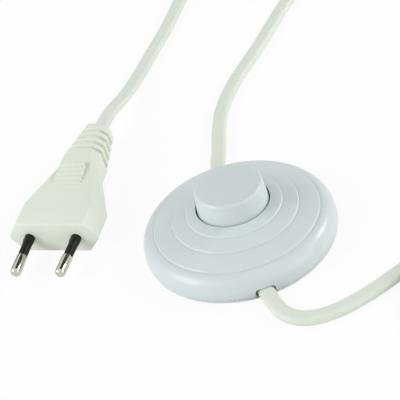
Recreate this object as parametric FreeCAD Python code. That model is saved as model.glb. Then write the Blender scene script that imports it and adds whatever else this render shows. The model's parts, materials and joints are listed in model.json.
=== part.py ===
"""A round lamp foot switch on a flat two-core cord with a moulded two-pin plug. Millimetres, +Z up.

The origin is the middle of the switch's underside, on the floor. The supply cord comes in at +Y and the
lamp cord goes out at -Y. The plug lies at the left of the switch, on the lower edge of its face and on its
lower grip pad.
"""
import FreeCAD, Part
import math
import os

V = FreeCAD.Vector
UP = V(0, 0, 1)

# Shares of two neighbouring runs that a bend may take up, and how far a cutting tool runs past what it cuts
bend_share = 0.45
overrun = 1.1

# Cover
cover_radius = 35.0
cover_wall = 2.0
straight_wall = 2.0
shoulder_radius = 6.0
tread_slope = 16.0
ring_radii = (29.9, 22.9, 17.4)
step_height = 0.65
step_run = 0.2
collar_wall = 1.8
collar_depth = 4.2
notch_side_gap = 0.7
notch_top_gap = 0.3
notch_round = 1.4

# Base plate
base_thickness = 2.0
base_inset = 0.6
base_edge = 0.4
locating_gap = 0.15
locating_wall = 1.2
locating_height = 1.5
channel_floor = 0.6
channel_gap = 0.3
channel_past_jacket = 4.0

# Housing screws and the cover's bosses
boss_inset = 7.0
boss_angles = (0.0, 125.0, 235.0)
boss_radius = 3.1
screw_radius = 1.45
screw_fit = 0.05
screw_head_radius = 2.7
screw_head_height = 1.2
screw_head_recess = 0.2
screw_length = 7.0
driver_slot_width = 0.7
driver_slot_depth = 0.6

# Push button
button_top_radius = 12.15
button_base_radius = 13.15
button_hole_gap = 0.2
button_rise = 7.8
button_wall = 1.6
button_roof = 2.0
button_edge_round = 1.2
button_travel = 4.0
flange_reach = 0.9
flange_thickness = 1.4
stop_gap = 0.2

# Guide posts that keep the button from turning
post_width = 2.6
post_thickness = 1.8
post_offset = 0.9
guide_gap = 0.3

# Rotor, stem and return spring
stem_radius = 3.2
stem_gap = 0.3
stem_end_gap = 0.4
rotor_turn = 45.0
rotor_lift = 1.4
rotor_disc_radius = 8.6
rotor_disc_thickness = 1.8
hub_wall = 1.7
lug_radius = 0.8
lug_gap = 0.4
lug_height = 1.6
lug_end_gap = 0.4
hub_above_lug = 1.8
slot_steps = 10
pivot_radius = 1.65
pivot_fit = 0.05
pivot_top_gap = 0.9
thrust_wall = 1.5
thrust_gap = 0.2
spring_radius = 7.2
spring_wire_radius = 0.45
spring_turns = 6.0

# Contacts and terminals
bridge_thickness = 0.5
bridge_ring_gap = 0.2
bridge_ring_wall = 2.6
bridge_arm_width = 3.0
bridge_reach = 11.5
contact_circle = 10.0
contact_gap = 0.2
strip_width = 3.0
strip_thickness = 0.5
rivet_radius = 1.4
terminal_x = 19.5
terminal_width = 7.0
terminal_length = 7.0
terminal_height = 6.0
neutral_length = 18.0
neutral_screw_y = 5.0
wire_height = 3.0
wire_hole_radius = 1.0
wire_hole_depth = 6.0
terminal_screw_radius = 1.25
terminal_screw_fit = 0.05
terminal_head_radius = 1.9
terminal_head_height = 1.2

# Flat cord and its two cores
cord_width = 5.8
cord_thickness = 3.6
core_radius = 1.1
core_spread = 1.45
copper_radius = 0.7
copper_inset = 5.2
core_stop_gap = 0.3
core_bend_x = 10.7
core_end_run = 5.5
jacket_inset = 15.0
cord_meet_gap = 0.1

# Cord clamps
clamp_inset = 10.5
clamp_length = 17.2
clamp_width = 5.0
clamp_thickness = 2.0
clamp_corner = 1.25
clamp_screw_x = 6.0
clamp_boss_radius = 2.3
clamp_screw_radius = 1.2
clamp_screw_fit = 0.1
clamp_screw_depth = 3.2
clamp_head_radius = 2.0
clamp_head_height = 1.2

# Plug, measured back from the middle of its face
plug_width = 35.3
plug_flat_width = 26.1
plug_height = 13.7
plug_side_height = 1.8
plug_shoulder = 11.8
waist_at = 32.0
waist_width = 18.0
waist_flat_width = 12.8
waist_height = 12.4
waist_side_height = 5.0
relief_start = 40.0
relief_start_width = 15.4
relief_start_height = 15.4
plug_length = 58.0
relief_end_width = 11.6
relief_end_height = 10.8
relief_corner = 4.0
rib_count = 4
rib_first = 41.3
rib_pitch = 3.9
rib_groove = 1.5
rib_depth = 1.1
pad_start = 19.2
pad_front_width = 12.0
pad_rear_width = 9.6
pad_rise = 1.68
pad_front_sink = 0.42
pad_ridges = 5
pad_ridge_groove = 0.9
pad_ridge_depth = 0.5
face_x = -64.7
face_y = 25.5
plug_heading = 61.6

# Plug pins
pin_spacing_base = 18.6
pin_spacing_tip = 17.5
pin_length = 19.0
pin_radius = 2.0
pin_tip_round = 1.7
pin_core_radius = 1.4
pin_seat = 9.0
pin_fit = 0.03
sleeve_radius = 1.8
sleeve_length = 10.0
sleeve_seat = 2.0

# Coils of the put-away cord, and the ties that hold them
coil_middle_radius = 30.2
coil_layers = 2
coil_corner = 1.7
coil_meet_shift = 0.3
tie_thickness = 0.6
tie_width = 4.0
supply_coil_x = 74.0
supply_coil_y = 183.0
supply_tie_angles = (60.0, 240.0)
lamp_coil_x = 80.6
lamp_coil_y = -64.2
lamp_tie_angles = (85.0, 265.0)

# Stripped end of the lamp cord
tail_straight = 7.0
tail_copper_length = 7.0
tail_rest_gap = 0.1

# Heights and radii that follow from the sizes above
slope = math.radians(tread_slope)
shoulder_z = base_thickness + straight_wall
shoulder_r = cover_radius - shoulder_radius
boss_ring_radius = cover_radius - boss_inset
clamp_y = cover_radius - clamp_inset
jacket_end = cover_radius - jacket_inset
channel_inner_end = jacket_end - channel_past_jacket
cord_floor_z = cord_thickness / 2
cord_inside_z = channel_floor + cord_thickness / 2
cord_top_inside = channel_floor + cord_thickness
coil_low_z = tie_thickness + cord_thickness / 2
coil_high_z = coil_low_z + (coil_layers - 1) * cord_thickness
coil_top_z = tie_thickness + coil_layers * cord_thickness
tail_z = coil_top_z + cord_thickness / 2 + tail_rest_gap
tail_core_z = coil_top_z + core_radius + tail_rest_gap
coil_meet_low_z = coil_low_z + coil_meet_shift
coil_meet_high_z = coil_high_z - coil_meet_shift
rotor_z = base_thickness + rotor_lift
rotor_top_z = rotor_z + rotor_disc_thickness
terminal_top_z = base_thickness + terminal_height
wire_z = base_thickness + wire_height
plug_pitch = math.degrees(math.atan(pad_rise / waist_at))
plug_half = plug_height / 2

# Points that the free cord's leads pass, chosen by hand
plug_lead_points = (
    (-23.4, 101.4, 5.6), (-15.4, 117.0, 2.4), (-6.4, 132.4, cord_floor_z), (4.4, 149.0, cord_floor_z),
    (15.2, 169.0, cord_floor_z), (24.4, 183.4, cord_floor_z), (34.6, 194.6, cord_floor_z),
    (45.6, 203.2, coil_meet_low_z),
)
inlet_lead_points = (
    (76.5, 149.0, coil_meet_high_z), (66.5, 146.2, 4.2), (57.6, 140.8, 2.2), (44.8, 123.6, cord_floor_z),
    (33.6, 108.4, cord_floor_z), (21.9, 94.4, cord_floor_z), (12.4, 78.6, cord_floor_z),
    (7.6, 64.6, cord_floor_z), (4.6, 51.6, cord_floor_z), (1.1, 40.0, cord_inside_z),
    (0.0, 29.5, cord_inside_z), (0.0, jacket_end, cord_inside_z),
)
lamp_lead_points = (
    (0.0, -jacket_end, cord_inside_z), (0.0, -30.0, cord_inside_z), (0.6, -39.5, cord_inside_z),
    (2.8, -48.0, cord_floor_z), (9.0, -53.4, cord_floor_z), (19.0, -54.2, cord_floor_z),
    (31.5, -51.0, cord_floor_z), (44.0, -45.7, cord_floor_z), (53.4, -41.6, cord_floor_z),
    (60.2, -37.8, coil_meet_low_z),
)

# The stripped end lies on the lamp cord's coil
lamp_tail_points = (
    (105.9, -43.0, tail_z), (110.7, -53.3, tail_z), (111.8, -63.1, tail_z), (110.1, -72.4, tail_z),
)
tail_live_points = ((104.6, -87.2, tail_core_z), (98.9, -92.2, tail_core_z))
tail_neutral_points = ((101.7, -84.6, tail_core_z), (95.0, -88.0, tail_core_z))


def edge(a, b):
    """Straight edge between two points."""
    return Part.LineSegment(a, b).toShape()


def arc(a, middle, b):
    """Circular edge through three points."""
    return Part.Arc(a, middle, b).toShape()


def rz(r, z):
    """Point of a turned profile, at radius r and height z."""
    return V(r, 0, z)


def turned(edges):
    """Solid turned about Z from the edges of a closed profile."""
    face = Part.Face(Part.Wire(Part.__sortEdges__(edges)))
    return face.revolve(V(0, 0, 0), UP, 360)


def turned_polygon(points):
    """Solid turned about Z from a closed profile of straight lines."""
    loop = [rz(*point) for point in points]
    return turned([edge(a, b) for a, b in zip(loop, loop[1:] + loop[:1])])


def cylinder(radius, z_low, z_high, x=0.0, y=0.0):
    """Upright cylinder between two heights."""
    return Part.makeCylinder(radius, z_high - z_low, V(x, y, z_low))


def box(x_low, x_high, y_low, y_high, z_low, z_high):
    """Box between two corners."""
    return Part.makeBox(x_high - x_low, y_high - y_low, z_high - z_low, V(x_low, y_low, z_low))


def polar(radius, degrees):
    """X and Y of a point on a circle about Z."""
    return radius * math.cos(math.radians(degrees)), radius * math.sin(math.radians(degrees))


def turned_about_z(shape, degrees):
    """Copy of a shape turned about Z."""
    copy = shape.copy()
    copy.rotate(V(0, 0, 0), UP, degrees)
    return copy


def route(points, name):
    """Path of straight runs joined by tangent arcs, each as large as its two runs allow."""
    points = [V(*point) for point in points]
    edges, radii, start = [], [], points[0]
    for before, corner, after in zip(points, points[1:], points[2:]):
        arrive = (corner - before).normalize()
        leave = (after - corner).normalize()
        half_turn = arrive.getAngle(leave) / 2
        reach = bend_share * min((corner - before).Length, (after - corner).Length)
        radius = reach / math.tan(half_turn)
        inward = (leave - arrive).normalize()
        arc_start = corner - arrive * reach
        arc_end = corner + leave * reach
        arc_middle = corner + inward * (radius / math.cos(half_turn) - radius)
        edges += [edge(start, arc_start), arc(arc_start, arc_middle, arc_end)]
        radii.append(round(radius, 1))
        start = arc_end
    edges.append(edge(start, points[-1]))
    print(name, "bend radii", radii)
    return Part.Wire(edges)


def flat_section(start, heading):
    """Outline of the flat cord across its heading: two sides joined by half rounds, with its width level."""
    side = heading.cross(UP).normalize()
    rise = side.cross(heading).normalize()
    half_round = cord_thickness / 2
    flat = cord_width / 2 - half_round
    corners = [start + side * (a * flat) + rise * (b * half_round)
               for a, b in ((-1, 1), (1, 1), (1, -1), (-1, -1))]
    right_end = start + side * (cord_width / 2)
    left_end = start - side * (cord_width / 2)
    return Part.Wire([
        edge(corners[0], corners[1]), arc(corners[1], right_end, corners[2]),
        edge(corners[2], corners[3]), arc(corners[3], left_end, corners[0]),
    ])


def flat_cord(points, name):
    """Flat cord along its route, with its volume set against section times length."""
    path = route(points, name)
    heading = (V(*points[1]) - V(*points[0])).normalize()
    section = flat_section(V(*points[0]), heading)
    sweep = Part.BRepOffsetAPI.MakePipeShell(path)
    sweep.setBiNormalMode(UP)
    sweep.add(section, False, True)
    sweep.build()
    sweep.makeSolid()
    solid = sweep.shape()
    share = solid.Volume / (Part.Face(section).Area * path.Length)
    print(name, "length", round(path.Length, 1), "volume share", round(share, 4))
    return solid


def round_core(points, radius, name):
    """Round wire along its route."""
    path = route(points, name)
    heading = V(*points[1]) - V(*points[0])
    section = Part.Wire(Part.makeCircle(radius, V(*points[0]), heading))
    return path.makePipeShell([section], True, True)


def mirrored_y(shape):
    """Copy of a shape on the other side of the plane y = 0."""
    return shape.mirror(V(0, 0, 0), V(0, 1, 0))


def slotted_screw(head_radius, head_height, shank_radius, shank_length):
    """Screw that stands head up on z = 0, its shank below, with a driver slot."""
    screw = cylinder(head_radius, 0, head_height).fuse(cylinder(shank_radius, -shank_length, 0))
    slot = box(-head_radius, head_radius, -driver_slot_width / 2, driver_slot_width / 2,
               head_height - driver_slot_depth, head_height)
    return screw.cut(slot).removeSplitter()


def moved(shape, x, y, z):
    """Copy of a shape moved to a place."""
    copy = shape.copy()
    copy.translate(V(x, y, z))
    return copy


hole_radius = button_base_radius + button_hole_gap


def tread_profile():
    """Points of the cover's tread from the shoulder's end up to the hole's rim."""
    r = shoulder_r + shoulder_radius * math.sin(slope)
    z = shoulder_z + shoulder_radius * math.cos(slope)
    points = [(r, z)]
    for ring in ring_radii:
        foot = ring + step_run
        z += (r - foot) * math.tan(slope)
        points.append((foot, z))
        z += step_height
        r = ring
        points.append((r, z))
    z += (r - hole_radius) * math.tan(slope)
    points.append((hole_radius, z))
    return points


tread = tread_profile()
rim_z = tread[-1][1]
collar_z = rim_z - collar_depth
collar_radius = hole_radius + collar_wall
flange_top_z = collar_z - stop_gap
flange_bottom_z = flange_top_z - flange_thickness
flange_radius = button_base_radius + flange_reach
button_top_z = rim_z + button_rise
roof_z = button_top_z - button_roof
stem_bottom_z = rotor_top_z + stem_end_gap + button_travel
lug_z = stem_bottom_z + lug_height
hub_top_z = lug_z + hub_above_lug
hub_inner = stem_radius + stem_gap
hub_outer = hub_inner + hub_wall
post_x = hole_radius + post_offset


def arc_about_shoulder(radius):
    """Quarter-like arc about the shoulder's middle, from the upright wall to the tread's slope."""
    end_turn = math.pi / 2 - slope
    points = [rz(shoulder_r + radius * math.cos(t), shoulder_z + radius * math.sin(t))
              for t in (0.0, end_turn / 2, end_turn)]
    return arc(*points), points[0], points[2]


def cord_notch(z_low, side):
    """Opening for the cord through the cover's wall, with rounded upper corners."""
    half = cord_width / 2 + notch_side_gap
    top = cord_top_inside + notch_top_gap
    turn = notch_round * (1 - math.sqrt(0.5))
    start, end = side * (channel_inner_end + cord_width), side * cover_radius * overrun
    corners = [V(-half, start, z_low), V(-half, start, top - notch_round), V(-half + notch_round, start, top),
               V(half - notch_round, start, top), V(half, start, top - notch_round), V(half, start, z_low)]
    loop = Part.Wire([
        edge(corners[0], corners[1]), arc(corners[1], V(-half + turn, start, top - turn), corners[2]),
        edge(corners[2], corners[3]), arc(corners[3], V(half - turn, start, top - turn), corners[4]),
        edge(corners[4], corners[5]), edge(corners[5], corners[0]),
    ])
    return Part.Face(loop).extrude(V(0, end - start, 0))


def make_cover():
    """Cover shell: stepped tread, collar round the button's hole, screw bosses and two cord openings."""
    outer_arc, outer_foot, _ = arc_about_shoulder(shoulder_radius)
    inner_arc, inner_foot, inner_end = arc_about_shoulder(shoulder_radius - cover_wall)
    mean_slope = (rim_z - tread[0][1]) / (tread[0][0] - hole_radius)
    ceiling_z = inner_end.z + (inner_end.x - collar_radius) * mean_slope
    wall_foot_out = rz(cover_radius, base_thickness)
    wall_foot_in = rz(cover_radius - cover_wall, base_thickness)
    walk = [rz(*point) for point in tread]
    walk += [rz(hole_radius, collar_z), rz(collar_radius, collar_z), rz(collar_radius, ceiling_z), inner_end]
    edges = [edge(wall_foot_in, wall_foot_out), edge(wall_foot_out, outer_foot), outer_arc, inner_arc]
    edges += [edge(a, b) for a, b in zip(walk, walk[1:])]
    edges.append(edge(inner_foot, wall_foot_in))
    shell = turned(edges)
    envelope_edges = [edge(rz(0, base_thickness), wall_foot_out), edge(wall_foot_out, outer_foot), outer_arc]
    envelope_edges += [edge(a, b) for a, b in zip(walk[:len(tread)], walk[1:len(tread)])]
    envelope_edges += [edge(walk[len(tread) - 1], rz(0, rim_z)), edge(rz(0, rim_z), rz(0, base_thickness))]
    envelope = turned(envelope_edges)
    for angle in boss_angles:
        x, y = polar(boss_ring_radius, angle)
        boss = cylinder(boss_radius, base_thickness, rim_z, x, y).common(envelope)
        hole_top = screw_head_recess + screw_head_height + screw_length
        hole = cylinder(screw_radius + screw_fit, base_thickness, hole_top, x, y)
        shell = shell.fuse(boss).cut(hole)
    for side in (-1, 1):
        shell = shell.cut(cord_notch(base_thickness, side))
    return shell.removeSplitter()


def make_base():
    """Base plate: locating rim, cord channels, clamp bosses, guide posts, pivot and screw recesses."""
    radius = cover_radius - base_inset
    plate = turned_polygon([(0, 0), (radius - base_edge, 0), (radius, base_edge), (radius, base_thickness),
                            (0, base_thickness)])
    rim_outer = cover_radius - cover_wall - locating_gap
    rim_top = base_thickness + locating_height
    rim = cylinder(rim_outer, base_thickness, rim_top).cut(
        cylinder(rim_outer - locating_wall, base_thickness, rim_top))
    plate = plate.fuse(rim)
    plate = plate.fuse(cylinder(pivot_radius, base_thickness, rotor_top_z - pivot_top_gap))
    post_top = collar_z - guide_gap
    for side in (-1, 1):
        near, far = sorted((side * (post_x - post_thickness / 2), side * (post_x + post_thickness / 2)))
        plate = plate.fuse(box(near, far, -post_width / 2, post_width / 2, base_thickness, post_top))
    half_channel = cord_width / 2 + channel_gap
    for side in (-1, 1):
        for x in (-clamp_screw_x, clamp_screw_x):
            y = side * clamp_y
            boss = cylinder(clamp_boss_radius, base_thickness, cord_top_inside, x, y)
            hole_low = cord_top_inside - clamp_screw_depth
            hole = cylinder(clamp_screw_radius + clamp_screw_fit, hole_low, cord_top_inside, x, y)
            plate = plate.fuse(boss).cut(hole)
        near, far = sorted((side * channel_inner_end, side * cover_radius * overrun))
        plate = plate.cut(box(-half_channel, half_channel, near, far, channel_floor, base_thickness))
        near, far = sorted((side * channel_inner_end, side * jacket_end))
        plate = plate.cut(box(-cord_width, cord_width, near, far, channel_floor, base_thickness))
        notch_half = cord_width / 2 + notch_side_gap
        inner = side * (rim_outer - locating_wall * 2)
        near, far = sorted((inner, side * cover_radius * overrun))
        plate = plate.cut(box(-notch_half, notch_half, near, far, channel_floor, rim_top))
    for angle in boss_angles:
        x, y = polar(boss_ring_radius, angle)
        plate = plate.cut(cylinder(screw_radius + screw_fit, 0, base_thickness, x, y))
        recess_top = screw_head_recess + screw_head_height
        plate = plate.cut(cylinder(screw_head_radius + screw_fit, 0, recess_top, x, y))
    return plate.removeSplitter()


def make_button():
    """Push button: tapered cap, retaining flange with two guide notches, stem with two drive lugs."""
    top, round_ = button_top_z, button_edge_round
    bend = round_ * (1 - math.sqrt(0.5))
    rim_points = [rz(button_top_radius - round_, top), rz(button_top_radius - bend, top - bend),
                  rz(button_top_radius, top - round_)]
    walk = [rim_points[2], rz(button_base_radius, flange_top_z), rz(flange_radius, flange_top_z),
            rz(flange_radius, flange_bottom_z), rz(button_base_radius - button_wall, flange_bottom_z),
            rz(button_top_radius - button_wall, roof_z), rz(stem_radius, roof_z),
            rz(stem_radius, stem_bottom_z), rz(0, stem_bottom_z), rz(0, top), rim_points[0]]
    edges = [edge(a, b) for a, b in zip(walk, walk[1:])] + [arc(*rim_points)]
    button = turned(edges)
    lug_reach = hub_outer - lug_end_gap
    lugs = Part.makeCylinder(lug_radius, 2 * lug_reach, V(0, -lug_reach, lug_z), V(0, 1, 0))
    button = button.fuse(lugs)
    notch_half = post_width / 2 + guide_gap
    notch_inner = post_x - post_thickness / 2 - guide_gap
    for near, far in ((notch_inner, flange_radius * overrun), (-flange_radius * overrun, -notch_inner)):
        button = button.cut(box(near, far, -notch_half, notch_half, flange_bottom_z, flange_top_z))
    return button.removeSplitter()


def make_rotor():
    """Ratchet rotor: disc on a thrust ring, hub with two slots that wind round it as far as it turns."""
    thrust_outer = pivot_radius + pivot_fit + thrust_wall
    rotor = cylinder(rotor_disc_radius, rotor_z, rotor_top_z)
    rotor = rotor.fuse(cylinder(thrust_outer, base_thickness + thrust_gap, rotor_z))
    rotor = rotor.fuse(cylinder(hub_outer, rotor_top_z, hub_top_z))
    rotor = rotor.cut(cylinder(hub_inner, rotor_top_z, hub_top_z))
    rotor = rotor.cut(cylinder(pivot_radius + pivot_fit, base_thickness, rotor_top_z))
    slot_radius = lug_radius + lug_gap
    reach = hub_outer * overrun
    for step in range(slot_steps + 1):
        share = step / slot_steps
        z = lug_z - share * button_travel
        hole = Part.makeCylinder(slot_radius, 2 * reach, V(0, -reach, z), V(0, 1, 0))
        rotor = rotor.cut(turned_about_z(hole, -share * rotor_turn))
    rotor = rotor.cut(box(-slot_radius, slot_radius, -reach, reach, lug_z, hub_top_z))
    return rotor.removeSplitter()


def make_spring():
    """Return spring between the rotor's disc and the button's roof."""
    low, high = rotor_top_z + spring_wire_radius, roof_z - spring_wire_radius
    path = Part.makeHelix((high - low) / spring_turns, high - low, spring_radius)
    path.translate(V(0, 0, low))
    section = Part.Wire(Part.makeCircle(spring_wire_radius, V(spring_radius, 0, low), V(0, 1, 0)))
    return Part.Wire(path).makePipeShell([section], True, True)


def make_bridge():
    """Contact bridge under the rotor's disc: a ring with two opposite arms."""
    inner = pivot_radius + pivot_fit + thrust_wall + bridge_ring_gap
    low = rotor_z - bridge_thickness
    bridge = cylinder(inner + bridge_ring_wall, low, rotor_z)
    arms = box(-bridge_reach, bridge_reach, -bridge_arm_width / 2, bridge_arm_width / 2, low, rotor_z)
    bridge = bridge.fuse(turned_about_z(arms, 90 - rotor_turn))
    return bridge.cut(cylinder(inner, low, rotor_z)).removeSplitter()


def terminal_block(length, screw_ys, holes_from):
    """Brass block about y = 0 with a wire hole from each named end and a screw hole for each wire."""
    half = length / 2
    block = box(terminal_x - terminal_width / 2, terminal_x + terminal_width / 2, -half, half,
                base_thickness, terminal_top_z)
    for end in holes_from:
        mouth = V(terminal_x, end * half, wire_z)
        block = block.cut(Part.makeCylinder(wire_hole_radius, wire_hole_depth, mouth, V(0, -end, 0)))
    screw_hole_radius = terminal_screw_radius + terminal_screw_fit
    for y in screw_ys:
        block = block.cut(cylinder(screw_hole_radius, wire_z, terminal_top_z, terminal_x, y))
    return block


def make_live_contact():
    """Live contact of the supply side: terminal block, strip along the base and rivet under the bridge."""
    block = moved(terminal_block(terminal_length, (0,), (1,)), 0, contact_circle, 0)
    strip_top = base_thickness + strip_thickness
    rivet_top = rotor_z - bridge_thickness - contact_gap
    half = strip_width / 2
    strip = box(-half, terminal_x - terminal_width / 2, contact_circle - half, contact_circle + half,
                base_thickness, strip_top)
    rivet = cylinder(rivet_radius, base_thickness, rivet_top, 0, contact_circle)
    return block.fuse(strip).fuse(rivet).removeSplitter()


def make_neutral_connector():
    """Neutral connector: one block that joins the cores of both cords."""
    block = terminal_block(neutral_length, (-neutral_screw_y, neutral_screw_y), (-1, 1))
    return block.mirror(V(0, 0, 0), V(1, 0, 0))


def make_terminal_screws():
    """Four terminal screws, each down on its wire."""
    screw = slotted_screw(terminal_head_radius, terminal_head_height, terminal_screw_radius,
                          terminal_top_z - wire_z - copper_radius)
    places = [(terminal_x, contact_circle), (terminal_x, -contact_circle),
              (-terminal_x, neutral_screw_y), (-terminal_x, -neutral_screw_y)]
    return Part.makeCompound([moved(screw, x, y, terminal_top_z) for x, y in places])


def make_clamp():
    """Cord clamp of the supply side: a bar across the cord on two bosses."""
    low, high = cord_top_inside, cord_top_inside + clamp_thickness
    clamp = box(-clamp_length / 2, clamp_length / 2, clamp_y - clamp_width / 2, clamp_y + clamp_width / 2,
                low, high)
    upright = [e for e in clamp.Edges if abs(e.tangentAt(e.FirstParameter).z) > 0.9]
    clamp = clamp.makeFillet(clamp_corner, upright)
    for x in (-clamp_screw_x, clamp_screw_x):
        clamp = clamp.cut(cylinder(clamp_screw_radius + clamp_screw_fit, low, high, x, clamp_y))
    return clamp


def make_clamp_screws():
    """Four screws that hold the cord clamps."""
    seat = cord_top_inside + clamp_thickness
    screw = slotted_screw(clamp_head_radius, clamp_head_height, clamp_screw_radius,
                          clamp_thickness + clamp_screw_depth - clamp_screw_fit)
    places = [(x, y) for x in (-clamp_screw_x, clamp_screw_x) for y in (-clamp_y, clamp_y)]
    return Part.makeCompound([moved(screw, x, y, seat) for x, y in places])


def make_housing_screws():
    """Three screws that hold the base plate in the cover, their heads in the base plate's recesses."""
    screw = slotted_screw(screw_head_radius, screw_head_height, screw_radius, screw_length)
    screw.rotate(V(0, 0, 0), V(1, 0, 0), 180)
    seat = screw_head_recess + screw_head_height
    return Part.makeCompound([moved(screw, *polar(boss_ring_radius, angle), seat) for angle in boss_angles])


def core_points(side_x, mouth_y):
    """Route of one supply core from the jacket's end to the mouth of its terminal."""
    stop = mouth_y + core_stop_gap
    turn_y = (jacket_end + channel_inner_end) / 2 - core_radius
    return [(side_x * core_spread, jacket_end, cord_inside_z),
            (side_x * core_spread, turn_y, cord_inside_z),
            (side_x * core_bend_x, turn_y + core_radius, wire_z - core_radius / 2),
            (side_x * terminal_x, max(turn_y, stop + core_end_run), wire_z),
            (side_x * terminal_x, stop, wire_z)]


def make_copper_ends():
    """Bared copper ends of the four cores, in their terminals."""
    ends = []
    for side_x, mouth_y in ((1, contact_circle + terminal_length / 2), (-1, neutral_length / 2)):
        start = mouth_y + core_stop_gap
        place = V(side_x * terminal_x, start, wire_z)
        copper = Part.makeCylinder(copper_radius, core_stop_gap + copper_inset, place, V(0, -1, 0))
        ends += [copper, mirrored_y(copper)]
    return Part.makeCompound(ends)


plug_place = FreeCAD.Placement(
    V(face_x, face_y, plug_half * math.cos(math.radians(plug_pitch))),
    FreeCAD.Rotation(plug_heading, -plug_pitch, 0))


def on_plug(shape):
    """Copy of a shape moved from the plug's own axes to where the plug lies."""
    copy = shape.copy()
    copy.Placement = plug_place.multiply(copy.Placement)
    return copy


def plug_section(s, width, height, flat_width, side_height):
    """Eight-sided section of the plug at a distance behind its face."""
    w, h, f, e = width / 2, height / 2, flat_width / 2, side_height / 2
    corners = [V(s, *point) for point in
               ((f, h), (w, e), (w, -e), (f, -h), (-f, -h), (-w, -e), (-w, e), (-f, h))]
    return Part.makePolygon(corners + corners[:1])


def relief_sections(inset):
    """Both end sections of the strain relief, drawn in by an inset."""
    sizes = ((relief_start, relief_start_width, relief_start_height),
             (plug_length, relief_end_width, relief_end_height))
    return [plug_section(s, width - 2 * inset, height - 2 * inset, width - 2 * inset - 2 * relief_corner,
                         height - 2 * inset - 2 * relief_corner) for s, width, height in sizes]


def grip_pad():
    """Upper grip pad: a wedge that rises towards the cord, with cross grooves."""
    buried = plug_half / 2
    low_front, low_rear = plug_half - pad_front_sink, plug_half + pad_rise
    front_half, rear_half = pad_front_width / 2, pad_rear_width / 2
    front = [V(pad_start, y, z) for y, z in ((-front_half, buried), (front_half, buried),
                                             (front_half, low_front), (-front_half, low_front))]
    rear = [V(waist_at, y, z) for y, z in ((-rear_half, buried), (rear_half, buried),
                                           (rear_half, low_rear), (-rear_half, low_rear))]
    pad = Part.makeLoft([Part.makePolygon(front + front[:1]), Part.makePolygon(rear + rear[:1])], True, True)
    pitch = (waist_at - pad_start) / (pad_ridges + 1)
    for ridge in range(pad_ridges):
        s = pad_start + (ridge + 1) * pitch
        surface = low_front + (low_rear - low_front) * (s - pad_start) / (waist_at - pad_start)
        groove = box(s - pad_ridge_groove / 2, s + pad_ridge_groove / 2, -pad_front_width, pad_front_width,
                     surface - pad_ridge_depth, low_rear + pad_rise)
        pad = pad.cut(groove)
    return pad


def make_plug_body():
    """Moulded plug body with grip pads and ribbed strain relief, in the plug's own axes."""
    front = plug_section(0, plug_width, plug_height, plug_flat_width, plug_side_height)
    shoulder = plug_section(plug_shoulder, plug_width, plug_height, plug_flat_width, plug_side_height)
    waist = plug_section(waist_at, waist_width, waist_height, waist_flat_width, waist_side_height)
    relief = relief_sections(0)
    body = Part.makeLoft([front, shoulder], True, True)
    for pair in ((shoulder, waist), (waist, relief[0]), relief):
        body = body.fuse(Part.makeLoft(list(pair), True, True))
    core = Part.makeLoft(relief_sections(rib_depth), True, True)
    for rib in range(rib_count):
        s = rib_first + rib * rib_pitch
        slab = box(s, s + rib_groove, -plug_width, plug_width, -plug_height, plug_height)
        body = body.cut(slab.cut(core))
    pad = grip_pad()
    body = body.fuse(pad).fuse(pad.mirror(V(0, 0, 0), UP))
    for side in (-1, 1):
        body = body.cut(on_pin(cylinder(pin_core_radius + pin_fit, -pin_seat - pin_fit, sleeve_seat), side))
        body = body.cut(on_pin(cylinder(sleeve_radius + pin_fit, -sleeve_seat - pin_fit, sleeve_seat), side))
    return body.removeSplitter()


def on_pin(shape, side):
    """Copy of a shape turned from the Z axis to a pin's axis, in the plug's own axes."""
    lean = (pin_spacing_base - pin_spacing_tip) / 2 / pin_length
    outwards = V(-1, -side * lean, 0).normalize()
    copy = shape.copy()
    copy.Placement = FreeCAD.Placement(V(0, side * pin_spacing_base / 2, 0), FreeCAD.Rotation(UP, outwards))
    return copy


def make_pin(side):
    """Plug pin: a core in the body and the sleeve, and a round-ended tip."""
    bend = pin_tip_round * (1 - math.sqrt(0.5))
    tip = [rz(pin_radius, pin_length - pin_tip_round), rz(pin_radius - bend, pin_length - bend),
           rz(pin_radius - pin_tip_round, pin_length)]
    walk = [tip[2], rz(0, pin_length), rz(0, -pin_seat), rz(pin_core_radius, -pin_seat),
            rz(pin_core_radius, sleeve_length), rz(pin_radius, sleeve_length), tip[0]]
    edges = [edge(a, b) for a, b in zip(walk, walk[1:])] + [arc(*tip)]
    return on_plug(on_pin(turned(edges), side))


def make_sleeve(side):
    """Insulating sleeve of one pin."""
    sleeve = cylinder(sleeve_radius, -sleeve_seat, sleeve_length).cut(
        cylinder(pin_core_radius, -sleeve_seat, sleeve_length))
    return on_plug(on_pin(sleeve, side))


coil_half_width = cord_width


def rounded_loop(half_width, low, high, corner, middle):
    """Edges of a rounded rectangle in a turned profile, about a middle radius."""
    bend = corner * (1 - math.sqrt(0.5))
    left, right = middle - half_width, middle + half_width
    return [
        edge(rz(left + corner, low), rz(right - corner, low)),
        arc(rz(right - corner, low), rz(right - bend, low + bend), rz(right, low + corner)),
        edge(rz(right, low + corner), rz(right, high - corner)),
        arc(rz(right, high - corner), rz(right - bend, high - bend), rz(right - corner, high)),
        edge(rz(right - corner, high), rz(left + corner, high)),
        arc(rz(left + corner, high), rz(left + bend, high - bend), rz(left, high - corner)),
        edge(rz(left, high - corner), rz(left, low + corner)),
        arc(rz(left, low + corner), rz(left + bend, low + bend), rz(left + corner, low)),
    ]


def make_coil(x, y):
    """Outer shape of a coil of put-away cord: two turns wide, with rounded edges."""
    edges = rounded_loop(coil_half_width, tie_thickness, coil_top_z, coil_corner, coil_middle_radius)
    return moved(turned(edges), x, y, 0)


def coil_space(x, y):
    """Upright cylinder just wider than a coil, where its leads end."""
    return cylinder(coil_middle_radius + coil_half_width + cord_meet_gap, -coil_top_z, 2 * coil_top_z, x, y)


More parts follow.
